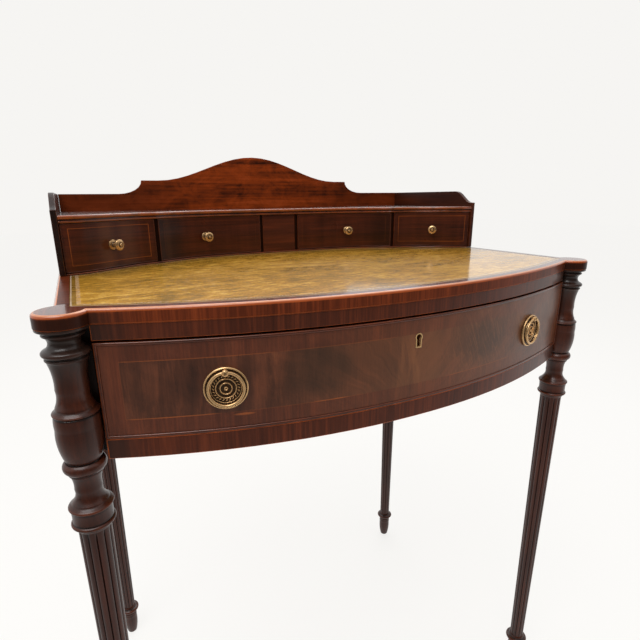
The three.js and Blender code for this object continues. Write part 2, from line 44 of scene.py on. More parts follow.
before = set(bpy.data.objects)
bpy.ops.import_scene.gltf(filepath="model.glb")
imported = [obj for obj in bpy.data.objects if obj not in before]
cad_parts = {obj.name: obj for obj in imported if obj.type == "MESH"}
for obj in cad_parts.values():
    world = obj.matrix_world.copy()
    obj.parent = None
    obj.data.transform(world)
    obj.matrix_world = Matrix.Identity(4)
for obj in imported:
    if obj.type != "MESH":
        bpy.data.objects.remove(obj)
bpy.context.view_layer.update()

MM = 0.001
HAIR = 0.001 * MM
SIDES = ("left", "right")
SMALL_DRAWERS = ("outer_left", "inner_left", "inner_right", "outer_right")
FULL_TURN = 2 * math.pi


# Places read from the frame


def low(node):
    """Lowest corner of a node's box"""
    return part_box(node)[0]


def high(node):
    """Highest corner of a node's box"""
    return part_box(node)[1]


def middle(node):
    return (low(node) + high(node)) / 2


DESK_TOP = high("top_board").z
CASE_TOP = high("side_panel_left").z
BACK = high("top_board").y
APEX = low("top_board").y
LEG_REACH = (high("front_leg_right").y - low("front_leg_right").y) / 2
COLUMN = Vector((high("front_leg_right").x - LEG_REACH, middle("front_leg_right").y, 0))
EAR_RADIUS = high("top_board").x - COLUMN.x
LEATHER_SIDE = high("writing_leather").x
GALLERY_SIDE = low("gallery_end_right").x
GALLERY_END = low("small_drawer_front_outer_right").y
BAY = middle("partition_outer_right").x


def length(name, description, default):
    return FloatProperty(name=name, description=description, default=default, unit="LENGTH")


def screen_colour(name, description, default):
    """A colour property that is given as it looks on the screen"""
    return FloatVectorProperty(
        name=name, description=description, default=default, subtype="COLOR_GAMMA"
    )


class EscritoireSizes(bpy.types.PropertyGroup):
    """Sizes of the shapes that are finer than the frame"""

    bow_lead: length("Bow lead", "How far the bow starts in front of the columns", 6.5 * MM)
    bow_power: FloatProperty(
        name="Bow power", description="Roundness of the bowed front in plan", default=2.08
    )
    front_setback: length(
        "Front setback", "Step from the top's edge back to the rails and drawer", 1.3 * MM
    )
    banding_width: length(
        "Banding width", "Width of the crossbanding round the leather", 13.5 * MM
    )
    outer_sweep: length("Outer sweep", "How far each end drawer's front sweeps back", 63 * MM)
    middle_hollow: length(
        "Middle hollow", "Depth of the hollow in the middle of the gallery", 41 * MM
    )
    hollow_power: FloatProperty(
        name="Hollow power", description="Roundness of the gallery's hollow in plan", default=3.6
    )
    arris: length("Arris", "Worn rounding of the boards' edges", 0.7 * MM)
    top_arris: length("Top arris", "Worn rounding of the top board's upper edge", 3.0 * MM)
    string_inset: length(
        "String inset", "Distance of the boxwood string from the long drawer's edge", 18.5 * MM
    )
    string_width: length("String width", "Width of the boxwood strings", 0.9 * MM)
    small_string_inset: length(
        "Small string inset", "Distance of the string from a small drawer's edge", 8.6 * MM
    )
    reed_count: IntProperty(
        name="Reeds", description="Reeds round each leg", default=12, min=6, max=20
    )
    reed_depth: length("Reed depth", "Depth of the grooves between the reeds", 1.9 * MM)


class EscritoireColours(bpy.types.PropertyGroup):
    """Colours of the finishes, as they look on the screen"""

    mahogany_dark: screen_colour(
        "Mahogany dark", "Dark streaks of the solid mahogany", (0.115, 0.045, 0.022)
    )
    mahogany: screen_colour("Mahogany", "Body colour of the solid mahogany", (0.235, 0.098, 0.045))
    mahogany_light: screen_colour(
        "Mahogany light", "Light streaks of the solid mahogany", (0.36, 0.155, 0.065)
    )
    banding: screen_colour("Banding", "Body colour of the crossbanding", (0.32, 0.135, 0.06))
    banding_light: screen_colour(
        "Banding light", "Light streaks of the crossbanding", (0.5, 0.235, 0.1)
    )
    flame: screen_colour("Flame", "Body colour of the figured veneer", (0.3, 0.155, 0.085))
    flame_light: screen_colour(
        "Flame light", "Light plumes of the figured veneer", (0.47, 0.28, 0.15)
    )
    crest: screen_colour(
        "Crest", "Body colour of the gallery's warmer mahogany", (0.42, 0.165, 0.035)
    )
    stain: screen_colour(
        "Stain", "Dark greenish patches of the figured veneer", (0.17, 0.125, 0.075)
    )
    # Rubbed polish and a painted highlight on the rounded front edge of the top
    rubbed_edge_highlight: screen_colour(
        "Rubbed edge",
        "Front edge of the top where sleeves have rubbed the polish thin",
        (0.6, 0.28, 0.13),
    )
    # Painted highlight: the pale line along the very front edge of the top
    pale_edge_highlight: screen_colour(
        "Bare edge",
        "Pale line along the front edge of the top, where the polish is gone",
        (0.9, 0.64, 0.48),
    )
    # Painted shade: darkens the legs under the top and the edges beside the columns
    dirt: screen_colour("Dirt", "Old wax and dust where no cloth reaches", (0.12, 0.1, 0.085))
    # Rubbed wood that also stands for the painted highlight on rounded edges and crests
    worn_edge_highlight: screen_colour(
        "Worn edge", "Wood that shows where edges are rubbed", (0.68, 0.32, 0.12)
    )
    boxwood: screen_colour("Boxwood", "Inlaid strings under old polish", (0.58, 0.29, 0.09))
    oak: screen_colour("Oak", "Bare wood of the drawers' insides", (0.6, 0.47, 0.32))
    leather: screen_colour("Leather", "Body colour of the writing leather", (0.79, 0.575, 0.165))
    leather_dark: screen_colour(
        "Leather dark", "Olive shadows of the writing leather", (0.52, 0.41, 0.1)
    )
    leather_light: screen_colour(
        "Leather light", "Rubbed gold of the writing leather", (0.95, 0.77, 0.38)
    )
    gilt: screen_colour("Gilt", "Worn gold of the leather's tooled border", (0.86, 0.76, 0.68))
    brass: screen_colour("Brass", "Rubbed brass of the pulls and knobs", (0.84, 0.68, 0.48))
    patina: screen_colour(
        "Patina", "Dark lacquer in the hollows of the brass", (0.13, 0.085, 0.045)
    )


class EscritoireStage(bpy.types.PropertyGroup):
    """Camera, floor and light"""

    camera_place: FloatVectorProperty(
        name="Camera place",
        description="Where the camera stands",
        subtype="TRANSLATION",
        unit="LENGTH",
        default=(-0.3091, -0.6196, 0.851),
    )
    camera_yaw: FloatProperty(
        name="Camera yaw",
        description="Turn of the camera to the right of straight ahead",
        subtype="ANGLE",
        default=math.radians(26.65),
    )
    camera_pitch: FloatProperty(
        name="Camera pitch",
        description="How far the camera looks down",
        subtype="ANGLE",
        default=math.radians(16.18),
    )
    camera_roll: FloatProperty(
        name="Camera roll",
        description="Roll of the camera",
        subtype="ANGLE",
        default=math.radians(-0.54),
    )
    lens: FloatProperty(
        name="Lens", description="Focal length on a 36 mm sensor, in millimetres", default=26.06
    )
    lens_shift: FloatVectorProperty(
        name="Lens shift",
        description="Offset of the frame from the lens's axis, as a share of its width",
        size=2,
        default=(0.0091, 0.0191),
    )
    floor_colour: screen_colour("Floor colour", "Pale studio floor", (0.985, 0.98, 0.97))
    backdrop: screen_colour("Backdrop", "Pale studio walls", (0.965, 0.96, 0.95))
    dome_strength: FloatProperty(
        name="Dome strength", description="Light that comes from all round", default=0.72
    )
    key_power: FloatProperty(
        name="Key power", description="Soft lamp above and in front", unit="POWER", default=30
    )


GROUPS = {
    "escritoire_sizes": EscritoireSizes,
    "escritoire_colours": EscritoireColours,
    "escritoire_stage": EscritoireStage,
}


def sizes():
    return bpy.context.scene.escritoire_sizes


def colours():
    return bpy.context.scene.escritoire_colours


# Curves in plan


def bow_y(x, setback=0.0):
    """Front line of the table"""
    reach = COLUMN.x - EAR_RADIUS + sizes().bow_lead
    rise = COLUMN.y - sizes().bow_lead - APEX
    return APEX + rise * (abs(x) / reach) ** sizes().bow_power + setback


def gallery_y(x, lead=0.0):
    """Front line of the gallery: an S at each end and a hollow middle"""
    reach = min(abs(x), GALLERY_SIDE)
    if reach <= BAY:
        hollow = sizes().middle_hollow * (1 - (reach / BAY) ** sizes().hollow_power)
        return GALLERY_END + sizes().outer_sweep + hollow - lead
    t = (reach - BAY) / (GALLERY_SIDE - BAY)
    return GALLERY_END + sizes().outer_sweep * (1 - t * t * (3 - 2 * t)) - lead


def slope(line, x):
    """Turn of a line in plan at x"""
    step = 0.01 * MM
    return math.atan((line(x + step) - line(x - step)) / (2 * step))


# Shaders


def linear(colour):
    """Linear colour with alpha from one given as it looks on the screen"""
    toe, split, gain, power = 12.92, 0.04045, 0.055, 2.4
    parts = [c / toe if c <= split else ((c + gain) / (1 + gain)) ** power for c in colour]
    return (*parts, 1.0)


def shade(colour, gain):
    return tuple(min(1.0, c * gain) for c in colour)


class Wire:
    """A node's output. Python's operators on it add the Math nodes that they stand for."""

    def __init__(self, nodes, socket):
        self.nodes = nodes
        self.socket = socket

    def math(self, operation, *others, clamp=False):
        return self.nodes.math(operation, self, *others, clamp=clamp)

    def __add__(self, other):
        return self.math("ADD", other)

    def __sub__(self, other):
        return self.math("SUBTRACT", other)

    def __rsub__(self, other):
        return self.nodes.math("SUBTRACT", other, self)

    def __mul__(self, other):
        return self.math("MULTIPLY", other)

    def __truediv__(self, other):
        return self.math("DIVIDE", other)

    def __pow__(self, other):
        return self.math("POWER", other)

    def __abs__(self):
        return self.math("ABSOLUTE")

    __radd__ = __add__
    __rmul__ = __mul__

    def smaller(self, other):
        return self.math("MINIMUM", other)

    def clamp(self):
        return self.math("ADD", 0.0, clamp=True)

    def step(self, start, end):
        """0 before start, 1 after end, and smooth between them"""
        settings = {"interpolation_type": "SMOOTHSTEP"}
        values = {"Value": self, "From Min": start, "From Max": end}
        return self.nodes.node("ShaderNodeMapRange", settings, values)


class Nodes:
    """A node tree, with one method that adds any node to it"""

    def __init__(self, tree):
        self.tree = tree

    def feed(self, socket, value):
        if isinstance(value, Wire):
            self.tree.links.new(value.socket, socket)
        else:
            socket.default_value = value

    def node(self, kind, settings=None, values=None, out=0):
        """Adds a node by its type, its settings, and the values or links of its sockets"""
        made = self.tree.nodes.new(kind)
        settings = dict(settings or {})
        stops = settings.pop("stops", None)
        for name, value in settings.items():
            setattr(made, name, value)
        if stops:
            elements = made.color_ramp.elements
            while len(elements) < len(stops):
                elements.new(1.0)
            for element, (place, colour) in zip(elements, stops):
                element.position = place
                element.color = colour
        for name, value in (values or {}).items():
            self.feed(made.inputs[name], value)
        return Wire(self, made.outputs[out])

    def math(self, operation, *values, clamp=False):
        settings = {"operation": operation, "use_clamp": clamp}
        return self.node("ShaderNodeMath", settings, dict(enumerate(values)))

    def split(self, vector):
        """The three values of a vector"""
        parts = self.node("ShaderNodeSeparateXYZ", values={"Vector": vector}).socket.node
        return [Wire(self, socket) for socket in parts.outputs]

    def ray(self, kind):
        """1 on rays of one kind"""
        return self.node("ShaderNodeLightPath", out=f"Is {kind} Ray")

    def blend(self, share, first, second):
        """A mix of two shaders"""
        return self.node("ShaderNodeMixShader", values={0: share, 1: first, 2: second})


class Finish(Nodes):
    """A material that is built up by its maker function"""

    def __init__(self, name, **surface):
        self.material = bpy.data.materials.new(name)
        self.material.use_nodes = True
        super().__init__(self.material.node_tree)
        self.surface = self.tree.nodes["Principled BSDF"]
        for socket, value in surface.items():
            self.surface.inputs[socket.replace("_", " ")].default_value = value

    def mix(self, share, first, second):
        """A mix of two colours"""
        made = self.node("ShaderNodeMix", {"data_type": "RGBA"}, {"Factor": share})
        node = made.socket.node
        for letter, value in (("A", first), ("B", second)):
            places = [s for s in node.inputs if s.name == letter and s.type == "RGBA"]
            self.feed(places[0], value)
        return Wire(self, next(s for s in node.outputs if s.type == "RGBA"))

    def over(self, colour, share, plain, gain=1.0):
        """The colour with a share of a plain one laid over it"""
        return self.mix(share, colour, linear(shade(plain, gain)))

    def ramp(self, tone, *stops):
        """Colour by tone. Each stop is the tone, a plain colour and its gain."""
        stops = [(place, linear(shade(plain, gain))) for place, plain, gain in stops]
        return self.node("ShaderNodeValToRGB", {"stops": stops}, {"Fac": tone})

    def place(self):
        """Object coordinates as three values"""
        return self.split(self.node("ShaderNodeTexCoord", out="Object"))

    def vector(self, x, y, z):
        return self.node("ShaderNodeCombineXYZ", values={"X": x, "Y": y, "Z": z})

    def attribute(self, name):
        return self.node("ShaderNodeAttribute", {"attribute_name": name}, out="Fac")

    def noise(self, place, detail, rough, warp=0.0):
        """Noise over a place that is given in its cells"""
        values = {"Vector": self.vector(*place), "Scale": 1.0, "Detail": detail}
        values |= {"Roughness": rough, "Distortion": warp}
        return self.node("ShaderNodeTexNoise", values=values)

    def even_noise(self, scale, detail, rough):
        """Noise with as many cells to the metre in every direction"""
        return self.noise([value * scale for value in self.place()], detail, rough)

    def bump(self, height, depth):
        values = {"Height": height, "Distance": depth, "Strength": 1.0}
        self.feed(self.surface.inputs["Normal"], self.node("ShaderNodeBump", values=values))

    def paint(self, colour, roughness):
        self.feed(self.surface.inputs["Base Color"], colour)
        self.feed(self.surface.inputs["Roughness"], roughness)


# Grain and polish, with the noise's scale in cells to the metre


def streaks(finish, across, along, stretch=1.0):
    """Grain of a cut board: fine streaks and broad bands along one direction, 0 to 1"""
    fine = finish.noise((across * (420 * stretch), along * 14, 0.0), 5, 0.6, 0.4)
    broad = finish.noise((across * (105 * stretch), along * 3.5, 3.7), 3, 0.5, 0.8)
    return (fine * 0.6 + broad * 0.42 - 0.01).clamp()


def pores(finish, across, along):
    """Short dark pores along the grain, 1 where open"""
    return finish.noise((across * 2600, along * 120, 1.3), 2, 0.5).step(0.6, 0.72)


def grain_axes(x, y, z, long_axis):
    """The two values across a board's grain and the one along it"""
    named = {"X": x, "Y": y, "Z": z}
    along = named.pop(long_axis)
    return (*named.values(), along)


def rubbed_lit_and_shaded(finish, colour, amount=0.3):
    """Adds arrises lightened as rubbed wood and painted highlight, crests lightened as rubbed wood
    and painted highlight, and hollows darkened as painted shade
    """
    patchy = finish.even_noise(55, 4, 0.6)
    # Arrises: rubbed wood and painted highlight
    arris = finish.attribute("arris") * (patchy.step(0.3, 0.62) * 0.6 + 0.4) * amount
    relief = finish.attribute("relief")
    # Crests that stand out: rubbed wood and painted highlight
    crest = relief.step(0.1, 0.8) * patchy.step(0.35, 0.7) * 0.16
    # Hollows: painted shade
    hollow = (0.0 - relief).step(0.03, 0.5) * 0.8
    lit = finish.over(colour, (arris + crest).clamp(), colours().worn_edge_highlight)
    return finish.over(lit, hollow, colours().mahogany_dark, 0.35)


def polish(finish, colour, tone, rough, depth):
    """French polish over grain: uneven gloss and a faint orange-peel surface"""
    cloud = finish.even_noise(18, 3, 0.55)
    ripple = finish.even_noise(160, 2, 0.5)
    finish.paint(colour, cloud * 0.14 + (rough - 0.07))
    finish.bump(tone * 0.5 + ripple * 0.5, depth)
    return finish.material


def solid_mahogany(
    name, long_axis, body=None, gain=1.0, wear=0.25, gloss=0.3, figure=0.0, dirt=0.0
):
    """Solid wood with its grain along one axis, and painted shade that can darken it near the top
    of the case
    """
    rough = 0.42 if gloss < 0.2 else 0.34
    finish = Finish(
        name, Specular_IOR_Level=min(gloss, 0.3), Coat_Weight=gloss, Coat_Roughness=0.12
    )
    x, y, z = finish.place()
    first, second, along = grain_axes(x, y, z, long_axis)
    fine = finish.noise((first * 260, second * 260, along * 9), 5, 0.6, 0.5)
    broad = finish.noise((first * 38, second * 38, along * 3), 3, 0.5, 1.0)
    mottle = finish.noise((x * 24, y * 24, z * 34 + 5.0), 4, 0.6, 1.6)
    tone = (fine * 0.5 + broad * 0.7 + (mottle - 0.5) * figure - 0.1).clamp()
    tint = colours()
    body = body or tint.mahogany
    light_gain = gain * min(body[0] / tint.mahogany[0], 1.5)
    colour = finish.ramp(
        tone,
        (0.2, tint.mahogany_dark, gain),
        (0.5, body, gain),
        (0.85, tint.mahogany_light, light_gain),
    )
    open_pores = pores(finish, first + second, along)
    colour = finish.over(colour, open_pores * 0.45, tint.mahogany_dark, 0.7)
    # Rubbed arrises and crests with painted highlight, hollows with painted shade
    colour = rubbed_lit_and_shaded(finish, colour, wear)
    if figure:
        outer = abs(x).step(60 * MM, 240 * MM)
        colour = finish.over(colour, outer * 0.55, tint.mahogany_dark, 1.3)
    # Painted shade where the top of the case shades the columns
    if dirt:
        near_case_top = z.step(CASE_TOP - 70 * MM, CASE_TOP - 14 * MM)
        colour = finish.over(colour, near_case_top * dirt, tint.dirt)
    return polish(finish, colour, tone - open_pores * 0.3, rough, depth=0.08 * MM)


def banded(finish, across, along, gain):
    """Crossbanding: short strips of veneer side by side, each with its own tone"""
    strip_width = 52 * MM
    strip = finish.node(
        "ShaderNodeTexVoronoi",
        {"voronoi_dimensions": "1D"},
        {"W": across / strip_width, "Scale": 1.0, "Randomness": 1.0},
        out="Color",
    )
    chance = finish.node("ShaderNodeSeparateColor", values={"Color": strip})
    tone = streaks(finish, across, along)
    tint = colours()
    dark = finish.ramp(
        tone,
        (0.22, tint.mahogany_dark, gain * 1.1),
        (0.48, tint.banding, gain * 0.8),
        (0.8, tint.banding, gain * 1.35),
    )
    light = finish.ramp(
        tone,
        (0.2, tint.banding, gain * 0.7),
        (0.5, tint.banding, gain * 1.15),
        (0.8, tint.banding_light, gain),
    )
    return finish.mix(chance.step(0.1, 0.9) * 0.3 + 0.25, dark, light), tone


def above(z, deep, shallow):
    """0 below one depth under the top's surface, 1 above the other; depths in millimetres"""
    return z.step(DESK_TOP - deep * MM, DESK_TOP - shallow * MM)


def crossbanding(name, gain, top=False, wear=0.8):
    """Crossbanded surface whose grain runs straight across the front edge"""
    specular = 0.08 if top else 0.2
    finish = Finish(name, Specular_IOR_Level=specular, Coat_Weight=0.18, Coat_Roughness=0.1)
    x, y, z = finish.place()
    colour, tone = banded(finish, x, y + z, gain)
    # Painted shade on the edges beside the columns, below the top's surface
    beside_column = abs(x).step(COLUMN.x - 68 * MM, COLUMN.x - 16 * MM)
    corner = beside_column * (1.0 - above(z, 5.0, 2.5))
    colour = finish.over(colour, corner * 0.68, colours().dirt)
    if top:
        colour, tone = top_surface(finish, colour, tone, gain)
    return polish(finish, rubbed_lit_and_shaded(finish, colour, wear), tone, rough=0.32, depth=0.07 * MM)


def top_surface(finish, colour, tone, gain):
    """What only the top has: side banding, darker ear walls, a rubbed front edge with painted
    highlight, a polished flat
    """
    x, y, z = finish.place()
    tint = colours()
    side_colour, side_tone = banded(finish, y, x + z, gain * 0.9)
    beside = abs(x).step(LEATHER_SIDE - 0.2 * MM, LEATHER_SIDE + 0.2 * MM)
    behind = y.step(COLUMN.y + EAR_RADIUS - MM, COLUMN.y + EAR_RADIUS)
    band = beside * behind
    colour = finish.mix(band, colour, side_colour)
    tone = tone + (side_tone - tone) * band
    ear_start = COLUMN.x - EAR_RADIUS
    ear = abs(x).step(ear_start, ear_start + 2 * MM) * (1.0 - behind)
    ear_wall = ear * (1.0 - above(z, 4.5, 2.5))
    colour = finish.over(colour, ear_wall * 0.72, tint.mahogany_dark, 1.25)
    arris = finish.attribute("arris")
    # Rubbed front edge: a painted orange highlight on its upper rounding and a pale painted
    # highlight at the very top
    colour = finish.over(colour, arris * above(z, 4.0, 1.6) * 0.8, tint.rubbed_edge_highlight)
    colour = finish.over(colour, arris * above(z, 1.3, 0.7) * 0.7, tint.pale_edge_highlight)
    flat = above(z, 3.2, 2.0)
    left = 1.0 - x.step(-10 * MM, 10 * MM)
    shaded = band * left * above(z, 0.3, 0.0)
    finish.feed(finish.surface.inputs["Coat Weight"], (flat * 0.95 + 0.05) * (1.0 - shaded))
    return colour, tone


# Marks on the fronts

# In millimetres. A stretch is where a line along x starts and ends, how softly it does so, and
# how strongly it shows. A mark is its middle along x and above the drawer's lower edge, and its
# reach each way. A small drawer's gains are how strongly its string and the painted shade on its
# steeply curved side show.

UPPER_STRING = ((-292, -160, 7, 0.42), (-150, -30, 7, 0.24))
LOWER_STRING = (
    (-288, -212, 7, 0.75),
    (-117, -86, 7, 0.7),
    (-200, -65, 7, 0.16),
    (45, 155, 7, 0.5),
)
SMALL_GAINS = {"outer": (0.62, 0.0), "inner": (0.1, 0.6)}
# Light bands on the small fronts: painted reflection
SMALL_REFLECTIONS = ((-282, -267, 6, 1.0), (-256, -238, 7, 0.8), (-193, -185, 3, 1.0))
PLUME = (-13, 38, 22, 50)
EMBER = (14, 42, 26, 50)
EMBER_STREAK = (-188, 15.5, 12, 1.6)
LEFT_STAIN = (-112, 52, 50, 34)
RIGHT_STAIN = (100, 52, 55, 34)


def edge_distance(u, v, width, height):
    """Distance from the nearest edge of a panel"""
    return u.smaller(width - u).smaller(v.smaller(height - v))


def window(value, start, end, soft):
    """1 between start and end, falling softly to 0 beside them"""
    return value.step(start - soft, start + soft) * (1.0 - value.step(end - soft, end + soft))


def showing(x, stretches):
    """How strongly a line shows along x"""
    return sum(
        window(x, start * MM, end * MM, soft * MM) * share
        for start, end, soft, share in stretches
    )


def patch(x, height, mark):
    """1 in the middle of a soft oval mark, 0 outside it"""
    across = (x - mark[0] * MM) / (mark[2] * MM)
    upward = (height - mark[1] * MM) / (mark[3] * MM)
    return 1.0 - (across * across + upward * upward).step(0.1, 1.0)


def thin_line(distance):
    """1 on an inlaid string, by the distance from its middle"""
    half = sizes().string_width / 2
    soft = 0.15 * MM
    return 1.0 - abs(distance).step(half - soft, half + soft)


def rubbed(finish, u, v, scale):
    """How much of a string has kept its colour, 0.5 to 1"""
    return finish.noise((u * scale, v * scale, 5.1), 3, 0.6).step(0.3, 0.6) * 0.5 + 0.5


def long_strings(finish, x, z, start, end):
    """Strings of the long drawer, rubbed away over much of their length"""
    inset = sizes().string_inset
    side = end.x - inset
    bottom, top = start.z + inset, end.z - inset
    level = thin_line(z - top) * showing(x, UPPER_STRING)
    level = level + thin_line(z - bottom) * showing(x, LOWER_STRING)
    level = level * (1.0 - abs(x).step(side, side + 0.2 * MM))
    upright = thin_line(abs(x) - side) * window(z, bottom, top, 0.1 * MM)
    return (level * rubbed(finish, x, z, 26) + upright * 0.1).clamp()


def flame_veneer(name):
    """Front of the long drawer: border, worn strings, and a plume of figured veneer"""
    finish = Finish(name, Specular_IOR_Level=0.35, Coat_Weight=0.2, Coat_Roughness=0.16)
    x, _, z = finish.place()
    start, end = low("drawer_lip"), high("drawer_lip")
    u, v = x - start.x, z - start.z
    tint = colours()
    plume_middle = -14 * MM
    side = abs(x - plume_middle)
    sweep = z - side ** 0.72 * 0.62
    wander = finish.noise((x * 5, z * 9, 0.4), 3, 0.55) * 0.16
    feather = finish.noise((sweep * 60 + wander * 60, side * 7, 2.0), 5, 0.62, 1.4)
    mottle = finish.noise((x * 75, z * 14, 1.0), 4, 0.62, 0.6)
    fine = finish.noise((x * 620, z * 20, 4.0), 4, 0.6, 0.3)
    cloud = finish.noise((x * 9, z * 16, 8.0), 3, 0.55, 0.6)
    figured = x.step(-170 * MM, -30 * MM) * 0.75 + 0.15
    grain_tone = feather * figured + mottle * (1.0 - figured)
    tone = (grain_tone * 0.95 + fine * 0.25 + cloud * 0.45 - 0.34).clamp()
    field = finish.ramp(
        tone,
        (0.2, tint.flame, 0.55),
        (0.45, tint.flame, 0.95),
        (0.66, tint.flame, 1.3),
        (0.88, tint.flame_light, 1.0),
    )
    plume = patch(x, v, PLUME) * mottle.step(0.35, 0.65) * 0.7
    ember = patch(x, v, EMBER) * 0.35
    field = finish.over(field, (plume + ember).clamp(), tint.flame_light)
    lighter = x.step(-200 * MM, 0.0) * (1.0 - x.step(100 * MM, 200 * MM) * 0.5)
    field = finish.over(field, lighter * 0.36, tint.flame_light)
    stains = patch(x, v, LEFT_STAIN) + patch(x, v, RIGHT_STAIN)
    field = finish.over(field, stains.clamp() * 0.5, tint.stain)
    wisp = finish.noise(((x + z * 0.45) * 150, (z - x * 0.4) * 20, 3.0), 5, 0.7, 2.2)
    wisps = wisp.step(0.46, 0.66) * x.step(20 * MM, 70 * MM)
    field = finish.over(field, wisps * 0.5, tint.flame_light)
    banding, _ = banded(finish, x, z, 1.12)
    inset = sizes().string_inset
    distance = edge_distance(u, v, end.x - start.x, end.z - start.z)
    inside = distance.step(inset - 0.1 * MM, inset + 0.1 * MM)
    border = finish.mix(0.52 - x.step(-20 * MM, 120 * MM) * 0.27, field, banding)
    colour = finish.mix(inside, border, field)
    line = long_strings(finish, x, z, start, end) + patch(x, v, EMBER_STREAK) * 0.7
    colour = finish.over(colour, line.clamp(), tint.boxwood)
    grain = pores(finish, x, z)
    colour = finish.over(colour, grain * 0.3, tint.mahogany_dark, 0.6)
    return polish(finish, rubbed_lit_and_shaded(finish, colour), tone - grain * 0.2, rough=0.36, depth=0.07 * MM)


def small_veneer(name, width, height, line_gain, steep_gain):
    """Front of a small drawer: mahogany with one string, painted reflections and painted shade; u
    and v run along the front
    """
    finish = Finish(name, Specular_IOR_Level=0.2, Coat_Weight=0.22, Coat_Roughness=0.1)
    u, v, _ = finish.split(finish.node("ShaderNodeUVMap", {"uv_map": "front"}))
    x, _, z = finish.place()
    tone = streaks(finish, z, x, 0.8)
    bands = finish.noise((x * 90, z * 3, 2.0), 3, 0.6)
    tint = colours()
    colour = finish.ramp(
        tone + (bands - 0.5) * 0.35,
        (0.2, tint.mahogany_dark, 1.0),
        (0.5, tint.mahogany, 1.1),
        (0.85, tint.banding, 1.15),
    )
    # Light bands of painted reflection
    colour = finish.over(colour, showing(x, SMALL_REFLECTIONS) * 0.22, tint.flame_light)
    # Painted shade on the steeply curved faces of the hollow
    steep = abs(x).step(150 * MM, 185 * MM) * steep_gain
    colour = finish.over(colour, steep, tint.mahogany_dark, 0.7)
    nearer_shelf = 2.0 * MM
    distance = edge_distance(u, v, width, height + nearer_shelf)
    line = thin_line(distance - sizes().small_string_inset) * rubbed(finish, u, v, 30)
    colour = finish.over(colour, line * line_gain, tint.boxwood)
    grain = pores(finish, z, x)
    colour = finish.over(colour, grain * 0.4, tint.mahogany_dark, 0.6)
    return polish(finish, rubbed_lit_and_shaded(finish, colour), tone - grain * 0.2, rough=0.3, depth=0.05 * MM)


def bare_oak(name, long_axis, gain=1.0):
    """Dry quarter-sawn oak with open pores and old dust"""
    finish = Finish(name, Specular_IOR_Level=0.3)
    first, second, along = grain_axes(*finish.place(), long_axis)
    fine = finish.noise((first * 300, second * 300, along * 8), 5, 0.65, 0.3)
    broad = finish.noise((first * 45, second * 45, along * 2.5), 3, 0.5, 1.2)
    open_pores = finish.noise((first * 1300, second * 1300, along * 45), 2, 0.5).step(0.58, 0.7)
    tone = (fine * 0.6 + broad * 0.6 - 0.1).clamp()
    oak = colours().oak
    colour = finish.ramp(tone, (0.15, oak, 0.55), (0.5, oak, 0.92), (0.9, oak, 1.16))
    colour = finish.over(colour, open_pores * 0.55, oak, 0.4)
    dust = finish.even_noise(7, 4, 0.6).step(0.35, 0.75)
    colour = finish.over(colour, dust * 0.35, oak, 0.62 * gain)
    colour = finish.over(colour, finish.attribute("arris") * 0.4, oak, 0.7)
    finish.paint(colour, fine * 0.12 + 0.62)
    finish.bump(tone - open_pores * 0.8, depth=0.12 * MM)
    return finish.material


def tooled_leather(name):
    """Old hide: streaked olive and gold, polished by use, with a blind-tooled border"""
    finish = Finish(
        name, Specular_IOR_Level=0.1, Coat_Weight=1.0, Coat_IOR=1.55, Coat_Roughness=0.12
    )
    x, y, _ = finish.place()
    tint = colours()
    brushed = finish.noise((x * 60, y * 190, 0.0), 6, 0.66, 0.4)
    clouds = finish.noise((x * 10, y * 26, 2.0), 4, 0.6, 0.9)
    specks = finish.noise((x * 340, y * 480, 4.0), 4, 0.65)
    tone = (brushed * 1.15 + clouds * 0.75 + specks * 0.6 - 0.74).clamp()
    colour = finish.ramp(
        tone,
        (0.22, tint.leather_dark, 0.9),
        (0.42, tint.leather, 0.82),
        (0.56, tint.leather, 1.0),
        (0.8, tint.leather_light, 1.0),
    )
    margin = finish.attribute("margin")
    foot = finish.attribute("foot")
    shadowed = 1.0 - foot.step(0.0, 70 * MM)
    colour = finish.over(colour, shadowed * 0.5, tint.leather_dark, 0.8)
    line = 1.0 - abs(margin - 1.0 * MM).step(0.45 * MM, 0.75 * MM)
    foot_line = 1.0 - abs(foot - 1.4 * MM).step(0.5 * MM, 0.9 * MM)
    strip = 1.0 - margin.step(5.4 * MM, 5.8 * MM)
    roll = 1.0 - abs(margin - 7.4 * MM).step(1.7 * MM, 1.9 * MM)
    figure = finish.noise((x * 520, y * 520, 0.0), 2, 0.5).step(0.44, 0.54)
    fade = finish.noise((x * 30, y * 30, 6.0), 3, 0.6).step(0.3, 0.6)
    border = (line + roll * figure * 0.8).clamp() * (fade * 0.5 + 0.5)
    gilt = (border + foot_line * 0.7).clamp()
    colour = finish.over(colour, strip * 0.55, tint.leather_dark, 0.62)
    colour = finish.over(colour, gilt * 0.75, tint.gilt)
    pebbles = finish.node(
        "ShaderNodeTexVoronoi",
        {"feature": "DISTANCE_TO_EDGE"},
        {"Vector": finish.vector(*(value * 900 for value in finish.place())), "Scale": 1.0},
    )
    finish.paint(colour, tone * 0.16 + 0.34)
    finish.bump(pebbles.step(0.0, 0.3) * 0.25 + brushed * 0.5 - gilt * 0.8, depth=0.03 * MM)
    return finish.material


